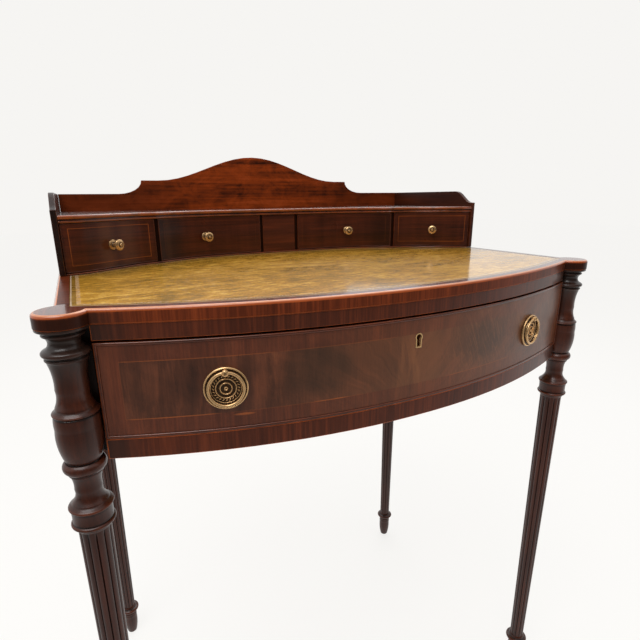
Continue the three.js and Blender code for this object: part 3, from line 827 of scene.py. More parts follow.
def old_brass(name, gain=1.0, chased=False):
    """Rubbed brass with dark lacquer in its hollows, and over all that isn't raised if chased"""
    finish = Finish(name, Metallic=0.78, Coat_Weight=0.2, Coat_Roughness=0.25)
    cloud = finish.even_noise(120, 4, 0.6)
    fine = finish.even_noise(900, 3, 0.6)
    start, end, depth = (-0.5, -0.05, 0.97) if chased else (-0.05, 0.35, 0.9)
    sunk = (0.0 - finish.attribute("relief")).step(start, end)
    hollow = (sunk * depth + cloud.step(0.5, 0.8) * 0.25).clamp()
    bright = linear(shade(colours().brass, gain))
    patina_gain = gain * (1.7 if chased else 1.0)
    colour = finish.mix(hollow, bright, linear(shade(colours().patina, patina_gain)))
    finish.paint(colour, hollow * 0.25 + cloud * 0.12 + 0.17)
    finish.bump(fine * 0.5 + cloud * 0.5, depth=0.04 * MM)
    return finish.material


# Mesh work


def started():
    """A bmesh with the layers that the finishes read"""
    made = bmesh.new()
    made.faces.layers.float.new("arris")
    made.verts.layers.float.new("relief")
    return made


def copied(node):
    """The node's own shape as a bmesh, with its loose triangles merged into flat faces"""
    made = started()
    made.from_mesh(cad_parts[node].data)
    bmesh.ops.remove_doubles(made, verts=made.verts[:], dist=0.002 * MM)
    bmesh.ops.dissolve_limit(
        made, angle_limit=math.radians(0.4), verts=made.verts[:], edges=made.edges[:]
    )
    return made


def join(bm, part):
    """Adds one bmesh to another, and frees it"""
    mesh = bpy.data.meshes.new("part")
    part.to_mesh(mesh)
    part.free()
    bm.from_mesh(mesh)
    bpy.data.meshes.remove(mesh)


def ease(bm, rounding, where=None, segments=2):
    """Rounds the sharp outward edges and marks the new faces as arrises, which the finishes colour
    as rubbed wood and painted highlight
    """
    layer = bm.faces.layers.float["arris"]
    sharp = math.radians(28)
    chosen = [
        e
        for e in bm.edges
        if e.is_manifold
        and e.is_convex
        and e.calc_face_angle() > sharp
        and (where is None or where((e.verts[0].co + e.verts[1].co) / 2))
    ]
    made = bmesh.ops.bevel(
        bm,
        geom=chosen,
        offset=rounding,
        offset_type="OFFSET",
        segments=segments,
        profile=0.5,
        affect="EDGES",
        clamp_overlap=True,
        material=-1,
    )
    for face in made["faces"]:
        face[layer] = 1.0


def round_over(bm, is_wall, z_top, radius, count):
    """Rounds a slab's upper edge: rings of its wall move inwards along a quarter circle"""
    layer = bm.faces.layers.float["arris"]
    z_start = z_top - radius
    for i in range(count):
        level = z_start + radius * math.sin(math.pi / 2 * i / count)
        walls = [f for f in bm.faces if is_wall(f)]
        edges = list({e for f in walls for e in f.edges})
        verts = list({v for f in walls for v in f.verts})
        bmesh.ops.bisect_plane(
            bm,
            geom=verts + edges + walls,
            dist=HAIR,
            plane_co=(0, 0, level),
            plane_no=(0, 0, 1),
        )
    moves = []
    for vert in bm.verts:
        normals = [f.normal.copy() for f in vert.link_faces if is_wall(f)]
        rise = vert.co.z - z_start
        if not normals or rise < HAIR:
            continue
        inward = radius - math.sqrt(max(0.0, radius * radius - rise * rise))
        other = min(normals, key=lambda n: n.dot(normals[0]))
        moves.append((vert, (normals[0] + other) * (inward / (1 + normals[0].dot(other)))))
    for face in bm.faces:
        if is_wall(face) and face.calc_center_median().z > z_start:
            face[layer] = 1.0
    for vert, move in moves:
        vert.co -= move
    bm.normal_update()


def refill(bm, level):
    """Takes out the flat faces at one level and fills the gap anew, round any hole in it"""
    lowest = level - 0.01 * MM
    flats = [f for f in bm.faces if f.normal.z > 0.99 and f.calc_center_median().z > lowest]
    bmesh.ops.delete(bm, geom=flats, context="FACES")
    rim = [e for e in bm.edges if e.is_boundary and all(v.co.z > lowest for v in e.verts)]
    bmesh.ops.triangle_fill(bm, edges=rim, use_beauty=True, normal=(0, 0, 1))
    bm.normal_update()


def thicken(bm, faces, move):
    """Grows flat faces into a slab whose new side lies where the move takes it"""
    grown = bmesh.ops.extrude_face_region(bm, geom=faces)["geom"]
    moved = [g for g in grown if isinstance(g, bmesh.types.BMVert)]
    bmesh.ops.translate(bm, vec=move, verts=moved)


def board(x_start, x_end, near, far, z_low, z_high, count=1):
    """A board between two lines in plan"""
    bm = started()
    grid = bmesh.ops.create_grid(bm, x_segments=count, y_segments=1, size=0.5)["verts"]
    for vert in grid:
        x = x_start + (vert.co.x + 0.5) * (x_end - x_start)
        line = near if vert.co.y < 0 else far
        vert.co = Vector((x, line(x), z_low))
    thicken(bm, bm.faces[:], (0, 0, z_high - z_low))
    bmesh.ops.recalc_face_normals(bm, faces=bm.faces[:])
    return bm


def bead_frame(start, end, line, width, depth, count):
    """A thin frame that follows a line in plan, to be rounded into a bead"""
    bm = started()
    columns, rows = count + 2, 3
    grid = bmesh.ops.create_grid(bm, x_segments=columns, y_segments=rows, size=0.5)["verts"]
    heights = (start.z, start.z + width, end.z - width, end.z)
    inner = end.x - start.x - 2 * width
    for vert in grid:
        column = round((vert.co.x + 0.5) * columns)
        row = round((vert.co.y + 0.5) * rows)
        share = (column - 1) / count
        x = start.x + width + share * inner
        if column == 0:
            x = start.x
        if column == columns:
            x = end.x
        vert.co = Vector((x, line(x), heights[row]))
    ring = []
    opening = []
    for face in bm.faces:
        spot = face.calc_center_median()
        within = start.x + width < spot.x < end.x - width and heights[1] < spot.z < heights[2]
        (opening if within else ring).append(face)
    bmesh.ops.delete(bm, geom=opening, context="FACES")
    thicken(bm, ring, (0, depth, 0))
    bmesh.ops.recalc_face_normals(bm, faces=bm.faces[:])
    return bm


def arc_points(start, end, swell, count):
    """Points after start, up to end, on an arc that swells to the right of the way"""
    if not swell:
        return [end]
    turn = 4 * math.atan(2 * swell)
    chord = end - start
    left = Vector((-chord.y, chord.x))
    centre = (start + end) / 2 + left * (0.5 / math.tan(turn / 2))
    steps = [Matrix.Rotation(turn * i / count, 2) for i in range(1, count)]
    return [centre + step @ (start - centre) for step in steps] + [end]


def profile_of(rows, count):
    """Points of a turned profile, from rows of radius, height and the swell of the next arc"""
    points = [Vector(rows[0][:2])]
    for row, following in zip(rows, rows[1:]):
        points += arc_points(Vector(row[:2]), Vector(following[:2]), row[2], count)
    return points


def relief_of(points, reach):
    """How far each point of a profile stands out from the points around it, -1 to 1"""
    made = []
    for i, point in enumerate(points):
        near = [p for p in points if (p - point).length < reach]
        mean = sum(near, Vector((0, 0))) / len(near)
        before, after = points[max(i - 1, 0)], points[min(i + 1, len(points) - 1)]
        along = (after - before).normalized()
        outward = Vector((along.y, -along.x))
        made.append(max(-1.0, min(1.0, (point - mean).dot(outward) / (reach * 0.35))))
    return made


def spun(bm, geom, steps):
    """Turns edges once round Z into a closed surface"""
    bmesh.ops.spin(
        bm,
        geom=geom,
        cent=(0, 0, 0),
        axis=(0, 0, 1),
        dvec=(0, 0, 0),
        angle=FULL_TURN,
        steps=steps,
        use_merge=True,
        use_duplicate=False,
    )


def turn_profile(bm, points, steps, reach):
    """Adds a shape turned about Z from points of radius and height, bottom to top"""
    layer = bm.verts.layers.float["relief"]
    verts = []
    for point, relief in zip(points, relief_of(points, reach)):
        vert = bm.verts.new((point.x, 0, point.y))
        vert[layer] = relief
        verts.append(vert)
    edges = [bm.edges.new(pair) for pair in zip(verts, verts[1:])]
    spun(bm, verts + edges, steps)


def piece(name, bm, material, body, nodes):
    """Makes the object of a finished bmesh, hangs it on the body it rides on, and hides the nodes
    it replaces
    """
    smooth = math.radians(32)
    bmesh.ops.remove_doubles(bm, verts=bm.verts[:], dist=HAIR)
    bmesh.ops.recalc_face_normals(bm, faces=bm.faces[:])
    for face in bm.faces:
        face.smooth = True
    for edge in bm.edges:
        edge.smooth = edge.is_manifold and edge.calc_face_angle() < smooth
    mesh = bpy.data.meshes.new(name)
    bm.to_mesh(mesh)
    bm.free()
    mesh.materials.append(material)
    made = bpy.data.objects.new(name, mesh)
    bpy.context.scene.collection.objects.link(made)
    normals = made.modifiers.new("Even shading", "WEIGHTED_NORMAL")
    normals.keep_sharp = True
    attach(made, body)
    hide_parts(*nodes)
    return made


def dressed(node, material, body, rounding=None, segments=2):
    """The node's own shape with eased edges and a finish"""
    bm = copied(node)
    ease(bm, sizes().arris if rounding is None else rounding, segments=segments)
    return piece(node + "_finished", bm, material, body, [node])


def bare_back(made):
    """Shows plain wood in place of veneer on the faces that look backwards"""
    wood = once("mahogany_inside", solid_mahogany, "X", gain=0.8, wear=0.1, gloss=0.05)
    made.data.materials.append(wood)
    for face in made.data.polygons:
        if face.normal.y > 0.3:
            face.material_index = 1


def once(name, maker, *args, **kwargs):
    """The material of that name, made on first use"""
    return bpy.data.materials.get(name) or maker(name, *args, **kwargs)


def shaded_wood():
    """Painted shade: a dark, dull copy of the mahogany for the hollows beside the columns and
    between the small drawers
    """
    return once("mahogany_shaded", solid_mahogany, "Z", gain=0.45, wear=0.0, gloss=0.03)


# Top and leather


class MakeTop(bpy.types.Operator):
    """Top board with rounded edges, rubbed and given a painted highlight, and crossbanding"""

    bl_idname = "escritoire.top"
    bl_label = "Top board"

    def execute(self, context):
        bm = copied("top_board")
        shortest_edge = 0.4 * MM
        bmesh.ops.remove_doubles(bm, verts=bm.verts[:], dist=shortest_edge)
        margin = sizes().banding_width / 2

        def outside(spot):
            edge = abs(spot.x) > LEATHER_SIDE + margin or spot.y < bow_y(spot.x) + margin
            return edge or spot.y > BACK - margin

        def is_wall(face):
            return abs(face.normal.z) < 0.1 and outside(face.calc_center_median())

        bm.normal_update()
        round_over(bm, is_wall, DESK_TOP, sizes().top_arris, count=6)
        refill(bm, DESK_TOP)
        middle_z = (low("top_board").z + DESK_TOP) / 2
        ease(bm, sizes().arris, lambda s: outside(s) and s.z < middle_z)
        material = once("banding_top", crossbanding, gain=1.14, top=True, wear=0.4)
        piece("top_board_finished", bm, material, "case", ["top_board"])
        return {"FINISHED"}


class MakeLeather(bpy.types.Operator):
    """Writing leather laid in the top, with a tooled border"""

    bl_idname = "escritoire.leather"
    bl_label = "Writing leather"

    def execute(self, context):
        node = "writing_leather"
        columns, rows = 260, 150
        base_proud, gap, sunk = 1 * MM, 0.3 * MM, 0.15 * MM
        bm = started()
        margin = bm.verts.layers.float.new("margin")
        foot = bm.verts.layers.float.new("foot")
        grid = bmesh.ops.create_grid(bm, x_segments=columns, y_segments=rows, size=0.5)["verts"]
        for vert in grid:
            x = vert.co.x * 2 * LEATHER_SIDE
            front = bow_y(x, sizes().banding_width)
            back = gallery_y(x, base_proud + gap)
            y = front + (vert.co.y + 0.5) * (back - front)
            lean = math.cos(slope(bow_y, x))
            vert[margin] = min(LEATHER_SIDE - abs(x), (y - front) * lean)
            vert[foot] = (back - y) * math.cos(slope(gallery_y, x))
            vert.co = Vector((x, y, DESK_TOP - sunk))
        thicken(bm, bm.faces[:], (0, 0, low(node).z - DESK_TOP))
        leather = once("tooled_leather", tooled_leather)
        piece(node + "_finished", bm, leather, "case", [node])
        return {"FINISHED"}


# Legs

# Each row is radius, height under the top of the case, and the swell of the arc to the next

COLUMN_ROWS = (
    (22.0, 0.0, 0.0),
    (22.0, 1.5, 0.2),
    (20.6, 2.6, 0.0),
    (17.2, 3.6, 0.0),
    (16.5, 4.6, 0.0),
    (16.6, 5.2, 0.45),
    (16.6, 7.8, 0.0),
    (15.9, 8.3, -0.3),
    (18.2, 20.0, 0.0),
    (18.5, 20.4, 0.38),
    (18.3, 25.4, 0.0),
    (17.0, 26.2, 0.0),
    (17.1, 27.0, 0.0),
    (17.9, 27.4, 0.2),
    (17.8, 29.4, 0.0),
    (17.0, 30.4, -0.05),
    (14.2, 57.0, -0.08),
    (16.6, 73.4, -0.12),
    (18.9, 77.3, 0.0),
    (19.5, 78.0, 0.35),
    (19.5, 80.2, 0.0),
    (18.8, 81.0, 0.0),
    (19.4, 81.6, 0.03),
    (19.75, 94.0, 0.06),
    (16.0, 126.0, 0.0),
    (15.1, 127.2, 0.0),
    (15.3, 128.0, 0.0),
    (16.4, 128.0, 0.28),
    (16.4, 138.4, 0.0),
    (15.3, 139.0, 0.0),
    (15.2, 141.2, 0.0),
    (14.2, 141.8, -0.06),
)
NECK_ROWS = (
    (12.4, 157.4, -0.13),
    (16.0, 170.6, -0.1),
    (18.4, 173.2, 0.0),
    (19.0, 174.0, 0.4),
    (18.9, 177.4, 0.0),
    (18.9, 178.2, -0.03),
    (18.5, 190.8, 0.0),
    (18.1, 191.5, 0.0),
    (18.9, 191.9, 0.34),
    (18.9, 195.6, 0.0),
    (17.0, 196.3, 0.0),
    (16.3, 198.6, 0.0),
    (15.5, 200.0, 0.0),
)
BACK_NECK_ROWS = ((14.0, 128.0, 0.0), (14.0, 139.9, -0.06))

# Each row of the foot is radius, height over the floor and swell, from the floor up

FOOT_ROWS = (
    (7.6, 0.0, 0.0),
    (8.4, 0.8, 0.04),
    (11.7, 37.0, 0.06),
    (11.6, 44.5, 0.2),
    (10.8, 48.2, 0.0),
    (10.5, 49.5, 0.0),
    (13.6, 50.7, 0.1),
    (14.2, 52.6, 0.0),
    (14.8, 53.2, 0.42),
    (14.8, 59.4, 0.0),
    (13.0, 60.2, 0.0),
    (12.2, 62.6, 0.0),
    (11.4, 64.0, 0.0),
)


def reeded_shaft(bm, z_low, z_high, r_low, r_high):
    """Adds the tapered shaft with its round reeds, which die away at both ends"""
    corners, rings = 10, 44
    count = sizes().reed_count
    layer = bm.verts.layers.float["relief"]
    made = bmesh.ops.create_circle(bm, segments=corners * count, radius=1.0, cap_ends=True)
    ring = made["verts"]
    fade = 9 * MM
    for level in range(rings + 1):
        share = level / rings
        z = z_low + (z_high - z_low) * (share * share * (3 - 2 * share))
        taper = (z - z_low) / (z_high - z_low)
        radius = r_low + (r_high - r_low) * taper
        ends = min(1.0, (z - z_low) / fade, (z_high - z) / fade)
        depth = sizes().reed_depth * math.sqrt(max(0.0, ends)) * radius / r_high
        if level:
            edges = list({e for v in ring for e in v.link_edges if e.other_vert(v) in ring})
            grown = bmesh.ops.extrude_edge_only(bm, edges=edges)["geom"]
            ring = [g for g in grown if isinstance(g, bmesh.types.BMVert)]
        for vert in ring:
            way = vert.co.xy.normalized()
            turn = (math.atan2(vert.co.y, vert.co.x) * count / FULL_TURN) % 1.0
            sag = 1 - math.sqrt(max(0.0, 1 - (2 * turn - 1) ** 2))
            reach = radius - depth * sag
            vert.co = Vector((way.x * reach, way.y * reach, z))
            vert[layer] = (0.35 - 1.35 * sag) * (0.6 if ends > 0 else 0.0)
    bmesh.ops.contextual_create(bm, geom=ring)


def turned_rows(bm, rows, base, sign):
    """Adds a turned part from rows that count up, or down if sign is negative, from a base"""
    made = [(radius * MM, base + sign * height * MM, swell) for radius, height, swell in rows]
    if sign < 0:
        swells = [swell for _, _, swell in made]
        made = [(r, h, s) for (r, h, _), s in zip(made[::-1], [*swells[-2::-1], 0.0])]
    points = profile_of(made, count=8)
    closed = [Vector((0, points[0].y)), *points, Vector((0, points[-1].y))]
    turn_profile(bm, closed, steps=64, reach=3.2 * MM)


def leg(name, place, rows, block=None):
    """A whole leg: turned part, reeded shaft and turned foot, with a square block if it has one"""
    bm = started()
    turned_rows(bm, rows, CASE_TOP, -1)
    shaft_low, shaft_high = 63.4 * MM, CASE_TOP - 199.4 * MM
    ankle, shoulder = 11.0 * MM, 15.2 * MM
    reeded_shaft(bm, shaft_low, shaft_high, ankle, shoulder)
    turned_rows(bm, FOOT_ROWS, 0.0, 1)
    bmesh.ops.translate(bm, vec=(place.x, place.y, 0), verts=bm.verts[:])
    if block:
        half = block / 2
        near, far = place.y - half, place.y + half
        bottom = low("side_panel_left").z
        square = board(
            place.x - half, place.x + half, lambda x: near, lambda x: far, bottom, CASE_TOP
        )
        ease(square, sizes().arris)
        join(bm, square)
    # Painted shade under the top, near the top of the case
    wood = once("mahogany_legs", solid_mahogany, "Z", gain=0.98, wear=0.2, dirt=0.75)
    piece(name + "_turned", bm, wood, "case", [name])


class MakeFrontLegs(bpy.types.Operator):
    """Front legs: turned columns over the height of the case, reeded below"""

    bl_idname = "escritoire.front_legs"
    bl_label = "Front legs"

    def execute(self, context):
        for side, sign in zip(SIDES, (-1, 1)):
            place = Vector((sign * COLUMN.x, COLUMN.y, 0))
            leg("front_leg_" + side, place, COLUMN_ROWS + NECK_ROWS)
        return {"FINISHED"}


class MakeBackLegs(bpy.types.Operator):
    """Back legs: square blocks in the case, turned and reeded below"""

    bl_idname = "escritoire.back_legs"
    bl_label = "Back legs"

    def execute(self, context):
        block = 38 * MM
        for side in SIDES:
            name = "back_leg_" + side
            leg(name, middle(name), BACK_NECK_ROWS + NECK_ROWS, block)
        return {"FINISHED"}


# Case


class MakeCase(bpy.types.Operator):
    """Corner posts, side panels and back panel"""

    bl_idname = "escritoire.case"
    bl_label = "Case"

    def execute(self, context):
        sides = once("mahogany_sides", solid_mahogany, "Y", gain=1.05)
        inner = once("oak_across", bare_oak, "X")
        for side in SIDES:
            dressed("corner_post_" + side, shaded_wood(), "case")
            dressed("side_panel_" + side, sides, "case")
        dressed("back_panel", inner, "case")
        return {"FINISHED"}


class MakeRails(bpy.types.Operator):
    """Crossbanded rails over and under the long drawer"""

    bl_idname = "escritoire.rails"
    bl_label = "Front rails"

    def execute(self, context):
        upper = once("banding_upper_rail", crossbanding, gain=0.92)
        dressed("upper_front_rail", upper, "case", rounding=0.4 * MM)
        lower = once("banding_lower_rail", crossbanding, gain=0.96)
        dressed("lower_front_rail", lower, "case", rounding=1.0 * MM, segments=3)
        return {"FINISHED"}


class MakeInnerCase(bpy.types.Operator):
    """Runners, kickers and stops of the long drawer"""

    bl_idname = "escritoire.inner_case"
    bl_label = "Runners and stops"

    def execute(self, context):
        material = once("oak_deep", bare_oak, "Y", gain=0.8)
        for stem in ("drawer_runner_", "drawer_kicker_", "drawer_stop_"):
            for side in SIDES:
                dressed(stem + side, material, "case", rounding=0.4 * MM)
        return {"FINISHED"}


# Long drawer


class MakeLongFront(bpy.types.Operator):
    """Veneered front of the long drawer and the bead round its edge"""

    bl_idname = "escritoire.long_front"
    bl_label = "Long drawer's front"

    def execute(self, context):
        veneer = once("flame_veneer", flame_veneer)
        body = "long_drawer"
        bare_back(dressed("drawer_front", veneer, body, rounding=0.25 * MM))
        front = sizes().front_setback
        width, proud, behind, rounding = 3.0 * MM, 1.2 * MM, 6 * MM, 1.05 * MM
        start, end = low("drawer_lip"), high("drawer_lip")
        line = partial(bow_y, setback=front - proud)
        bm = bead_frame(start, end, line, width, proud + behind, count=96)
        ease(bm, rounding, lambda s: s.y < bow_y(s.x, front), segments=4)
        wood = once("mahogany_bead", solid_mahogany, "X", gain=0.92, wear=0.2, gloss=0.7)
        piece("drawer_bead", bm, wood, body, ["drawer_lip"])
        return {"FINISHED"}


class MakeLongBox(bpy.types.Operator):
    """Sides, back and bottom of the long drawer"""

    bl_idname = "escritoire.long_box"
    bl_label = "Long drawer's box"

    def execute(self, context):
        lengthwise = once("oak_lengthwise", bare_oak, "Y")
        across = once("oak_across", bare_oak, "X")
        body = "long_drawer"
        for side in SIDES:
            dressed("drawer_side_" + side, lengthwise, body, rounding=0.8 * MM)
        dressed("drawer_back", across, body, rounding=0.8 * MM)
        dressed("drawer_bottom", across, body, rounding=0.4 * MM)
        return {"FINISHED"}


class MakeLock(bpy.types.Operator):
    """Lock, its bolt, and the brass thread round the keyhole"""

    bl_idname = "escritoire.lock"
    bl_label = "Lock and escutcheon"

    def execute(self, context):
        brass = once("brass_lock", old_brass)
        dressed("lock_case", brass, "long_drawer", rounding=0.4 * MM)
        dressed("lock_bolt", brass, "lock_bolt", rounding=0.5 * MM)
        thread = once("brass_thread", old_brass, gain=1.1)
        dressed("escutcheon", thread, "long_drawer", rounding=0.25 * MM)
        return {"FINISHED"}


# Ring pulls

# Each row is radius, height out from the drawer, and swell, from the rim inwards

PLATE_ROWS = (
    (20.5, 0.3, 0.0),
    (20.8, 1.2, 0.25),
    (20.2, 2.7, 0.35),
    (19.3, 2.5, 0.0),
    (18.9, 1.3, 0.0),
    (15.0, 1.3, 0.0),
    (14.7, 2.4, 0.3),
    (14.0, 2.4, 0.0),
    (13.7, 1.4, 0.0),
    (10.3, 1.4, 0.0),
    (10.0, 2.7, 0.4),
    (9.1, 2.7, 0.0),
    (8.8, 1.3, 0.0),
    (6.3, 1.3, 0.0),
    (6.0, 2.9, 0.4),
    (5.1, 2.9, 0.0),
    (4.8, 1.5, 0.0),
    (2.0, 1.5, 0.0),
    (1.8, 2.9, 0.3),
    (0.9, 3.3, 0.0),
    (0.6, 2.8, 0.0),
    (0.0, 2.7, 0.0),
)
POST_ROWS = (
    (2.95, 2.6, 0.0),
    (3.0, 4.4, 0.12),
    (3.0, 6.4, 0.25),
    (2.6, 7.8, 0.0),
    (2.0, 8.2, 0.0),
    (1.7, 7.7, 0.0),
    (0.9, 7.5, 0.0),
    (0.6, 6.9, 0.0),
    (0.0, 6.8, 0.0),
)
RING_RADIUS = 16.5 * MM
FACING = Matrix.Rotation(math.pi / 2, 4, "X")


def pull_matrix(side):
    """From a pull's own frame, with the drawer's face at y = 0, to its place on the bow"""
    x = middle("pull_plate_" + side).x
    face = Vector((x, bow_y(x, sizes().front_setback), middle("pull_ring_" + side).z))
    return Matrix.Translation(face) @ Matrix.Rotation(slope(bow_y, x), 4, "Z")


def turned_boss(rows, steps, reach):
    """A boss turned about the way out from the drawer, from rows rim first"""
    bm = started()
    points = profile_of([(r * MM, h * MM, swell) for r, h, swell in rows], count=6)
    turn_profile(bm, [Vector((0, points[0].y)), *points], steps, reach)
    bmesh.ops.transform(bm, matrix=FACING, verts=bm.verts[:])
    return bm


def chased_plate():
    """Backplate of a pull, with the ring of slanted leaves that is chased on it"""
    bm = turned_boss(PLATE_ROWS, steps=96, reach=1.3 * MM)
    layer = bm.verts.layers.float["relief"]
    count, radius, height = 24, 12.0 * MM, 1.6 * MM
    shape = Matrix.Diagonal((1.55 * MM, 0.8 * MM, 0.66 * MM, 1))
    lean = Matrix.Rotation(math.radians(38), 4, "Y")
    for i in range(count):
        turn = Matrix.Rotation(FULL_TURN * i / count, 4, "Y")
        matrix = turn @ Matrix.Translation((radius, -height, 0)) @ lean @ shape
        leaf = bmesh.ops.create_icosphere(bm, subdivisions=1, radius=1.0, matrix=matrix)
        for vert in leaf["verts"]:
            vert[layer] = 0.6
    return bm


def eye_post():
    """Post with an eye, from which the ring hangs"""
    bm = turned_boss(POST_ROWS, steps=32, reach=0.9 * MM)
    bmesh.ops.translate(bm, vec=(0, 0, RING_RADIUS), verts=bm.verts[:])
    return bm


def round_ring():
    """Ring of round wire, hanging flat in front of the plate"""
    wire, out = 1.45 * MM, 5.2 * MM
    bm = started()
    circle = bmesh.ops.create_circle(bm, segments=16, radius=wire)["verts"]
    bmesh.ops.translate(bm, vec=(RING_RADIUS, 0, 0), verts=circle)
    bmesh.ops.rotate(bm, matrix=FACING.to_3x3(), verts=circle)
    spun(bm, circle + bm.edges[:], steps=96)
    bmesh.ops.transform(bm, matrix=FACING, verts=bm.verts[:])
    bmesh.ops.translate(bm, vec=(0, -out, 0), verts=bm.verts[:])
    return bm


class MakePulls(bpy.types.Operator):
    """Ring pulls: chased plates, posts and rings"""

    bl_idname = "escritoire.pulls"
    bl_label = "Ring pulls"

    def execute(self, context):
        brass = once("brass_pull", old_brass, gain=1.08)
        chased = once("brass_chased", old_brass, gain=1.1, chased=True)
        for side in SIDES:
            ring = "pull_ring_" + side
            for stem, finish, bm, metal, body in (
                ("pull_plate_", "_chased", chased_plate(), chased, "long_drawer"),
                ("pull_post_", "_turned", eye_post(), brass, "long_drawer"),
                ("pull_ring_", "_round", round_ring(), brass, ring),
            ):
                bmesh.ops.transform(bm, matrix=pull_matrix(side), verts=bm.verts[:])
                node = stem + side
                piece(node + finish, bm, metal, body, [node])
        return {"FINISHED"}


# Gallery


class MakeGallery(bpy.types.Operator):
    """Base, ends, crest, moulded shelf, partitions and centre panel"""

    bl_idname = "escritoire.gallery"
    bl_label = "Gallery"

    def execute(self, context):
        # The left end's wood is a darker copy of the right end's: painted shade
        for side, gain in zip(SIDES, (0.5, 0.95)):
            name = "mahogany_end_" + side
            end = once(name, solid_mahogany, "Y", gain=gain, wear=0.1, gloss=0.6 - gain * 0.4)
            dressed("gallery_end_" + side, end, "case", rounding=0.8 * MM)
            for place in ("outer_", "inner_"):
                name = "partition_" + place + side
                dressed(name, shaded_wood(), "case", rounding=0.6 * MM)
        look = {"body": colours().crest, "gain": 1.22, "wear": 0.2, "gloss": 0.06, "figure": 0.55}
        crest = once("mahogany_crest", solid_mahogany, "X", **look)
        dressed("gallery_crest", crest, "case", rounding=0.8 * MM)
        base = once("mahogany_base", solid_mahogany, "X", wear=0.4, gloss=0.8)
        dressed("gallery_base", base, "case", rounding=0.8 * MM)
        panel = once("mahogany_panel", solid_mahogany, "X", gain=1.2, gloss=0.2)
        dressed("centre_panel", panel, "case", rounding=0.4 * MM)
        self.shelf()
        return {"FINISHED"}

    def shelf(self):
        """Shelf in three layers: a rounded nosing, a quirk and a small bead under it"""
        start, end = low("gallery_shelf"), high("gallery_shelf")

        def in_sight(spot):
            return spot.y < end.y - MM and abs(spot.x) < end.x - 0.1 * MM

        bm = started()
        for lead, z_low, z_high, rounding in (
            (4.0 * MM, end.z - 4.6 * MM, end.z, 2.2 * MM),
            (0.6 * MM, start.z + 2.4 * MM, end.z - 4.7 * MM, 0.2 * MM),
            (2.4 * MM, start.z, start.z + 2.3 * MM, 0.9 * MM),
        ):
            near = partial(gallery_y, lead=lead)
            layer = board(start.x, end.x, near, lambda x: end.y, z_low, z_high, count=160)
            ease(layer, rounding, in_sight, segments=4)
            join(bm, layer)
        # A strong rub lightens the nosing: rubbed wood and a painted highlight
        wood = once("mahogany_shelf", solid_mahogany, "X", gain=0.95, wear=0.55, gloss=1.0)
        piece("gallery_shelf_moulded", bm, wood, "case", ["gallery_shelf"])


class MakeSmallDrawers(bpy.types.Operator):
    """Small drawers: curved beaded fronts with strings, and their boxes"""

    bl_idname = "escritoire.small_drawers"
    bl_label = "Small drawers"

    def execute(self, context):
        lengthwise = once("oak_lengthwise", bare_oak, "Y")
        for place in SMALL_DRAWERS:
            body = "small_drawer_" + place
            self.front(place, body)
            self.bead(place, body)
            for part, rounding in (("box_", 0.4 * MM), ("bottom_", 0.3 * MM)):
                node = "small_drawer_" + part + place
                dressed(node, lengthwise, body, rounding)
        return {"FINISHED"}

    def front(self, place, body):
        """Curved front, veneered, with a map of its face for the string"""
        node = "small_drawer_front_" + place
        start, end = low(node), high(node)
        thickness = 10 * MM
        behind = partial(gallery_y, lead=-thickness)
        bm = board(start.x, end.x, gallery_y, behind, start.z, end.z, count=48)
        ease(bm, rounding=0.3 * MM)
        layer = bm.loops.layers.uv.new("front")
        for face in bm.faces:
            for loop in face.loops:
                loop[layer].uv = (loop.vert.co.x - start.x, loop.vert.co.z - start.z)
        kind = place.split("_")[0]
        face = (end.x - start.x, end.z - start.z)
        veneer = once("small_veneer_" + kind, small_veneer, *face, *SMALL_GAINS[kind])
        bare_back(piece(node + "_veneered", bm, veneer, body, [node]))

    def bead(self, place, body):
        """Fine bead round the edge of the front"""
        node = "small_drawer_front_" + place
        inset = Vector((0.2 * MM, 0, 0.2 * MM))
        start, end = low(node) + inset, high(node) - inset
        proud, width, depth, rounding = 0.55 * MM, 1.5 * MM, 1.2 * MM, 0.45 * MM
        bm = bead_frame(start, end, partial(gallery_y, lead=proud), width, depth, count=48)
        ease(bm, rounding, lambda s: s.y < gallery_y(s.x, 0.2 * MM), segments=3)
        wood = once("mahogany_small_bead", solid_mahogany, "X", gain=0.9, wear=0.1)
        piece("small_bead_" + place, bm, wood, body, [])


# Knobs

# Each row is radius, height out from the drawer, and swell, from the drawer outwards

KNOB_LENGTH = 16 * MM
KNOB_ROWS = (
    (6.5, 0.3, 0.0),
    (6.6, 0.9, 0.3),
    (5.7, 1.7, 0.1),
    (3.4, 2.4, -0.12),
    (2.5, 5.0, 0.0),
    (2.6, 8.0, -0.15),
    (3.9, 9.5, 0.0),
    (4.5, 9.8, 0.0),
    (6.2, 10.3, 0.24),
    (7.2, 12.4, 0.22),
    (6.2, 14.1, 0.1),
    (3.8, 14.9, 0.0),
    (3.5, 14.6, 0.0),
    (2.4, 14.8, 0.0),
    (2.2, 15.2, 0.35),
    (1.0, 16.0, 0.2),
    (0.0, 16.2, 0.0),
)


def knob_place(node):
    """Where a knob's axis meets the front, found from the middle of its leaning box"""
    x = middle(node).x
    for _ in range(6):
        x = middle(node).x - math.sin(slope(gallery_y, x)) * KNOB_LENGTH / 2
    return x


class MakeKnobs(bpy.types.Operator):
    """Turned brass knobs of the small drawers"""

    bl_idname = "escritoire.knobs"
    bl_label = "Knobs"

    def execute(self, context):
        brass = once("brass_knob", old_brass, gain=0.94)
        for place in SMALL_DRAWERS:
            node = "knob_" + place
            x = knob_place(node)
            turn = Matrix.Rotation(slope(gallery_y, x), 4, "Z")
            spot = Matrix.Translation((x, gallery_y(x), middle(node).z))
            bm = turned_boss(KNOB_ROWS, steps=48, reach=1.2 * MM)
            bmesh.ops.transform(bm, matrix=spot @ turn, verts=bm.verts[:])
            piece(node + "_turned", bm, brass, "small_drawer_" + place, [node])
        return {"FINISHED"}


# Stage


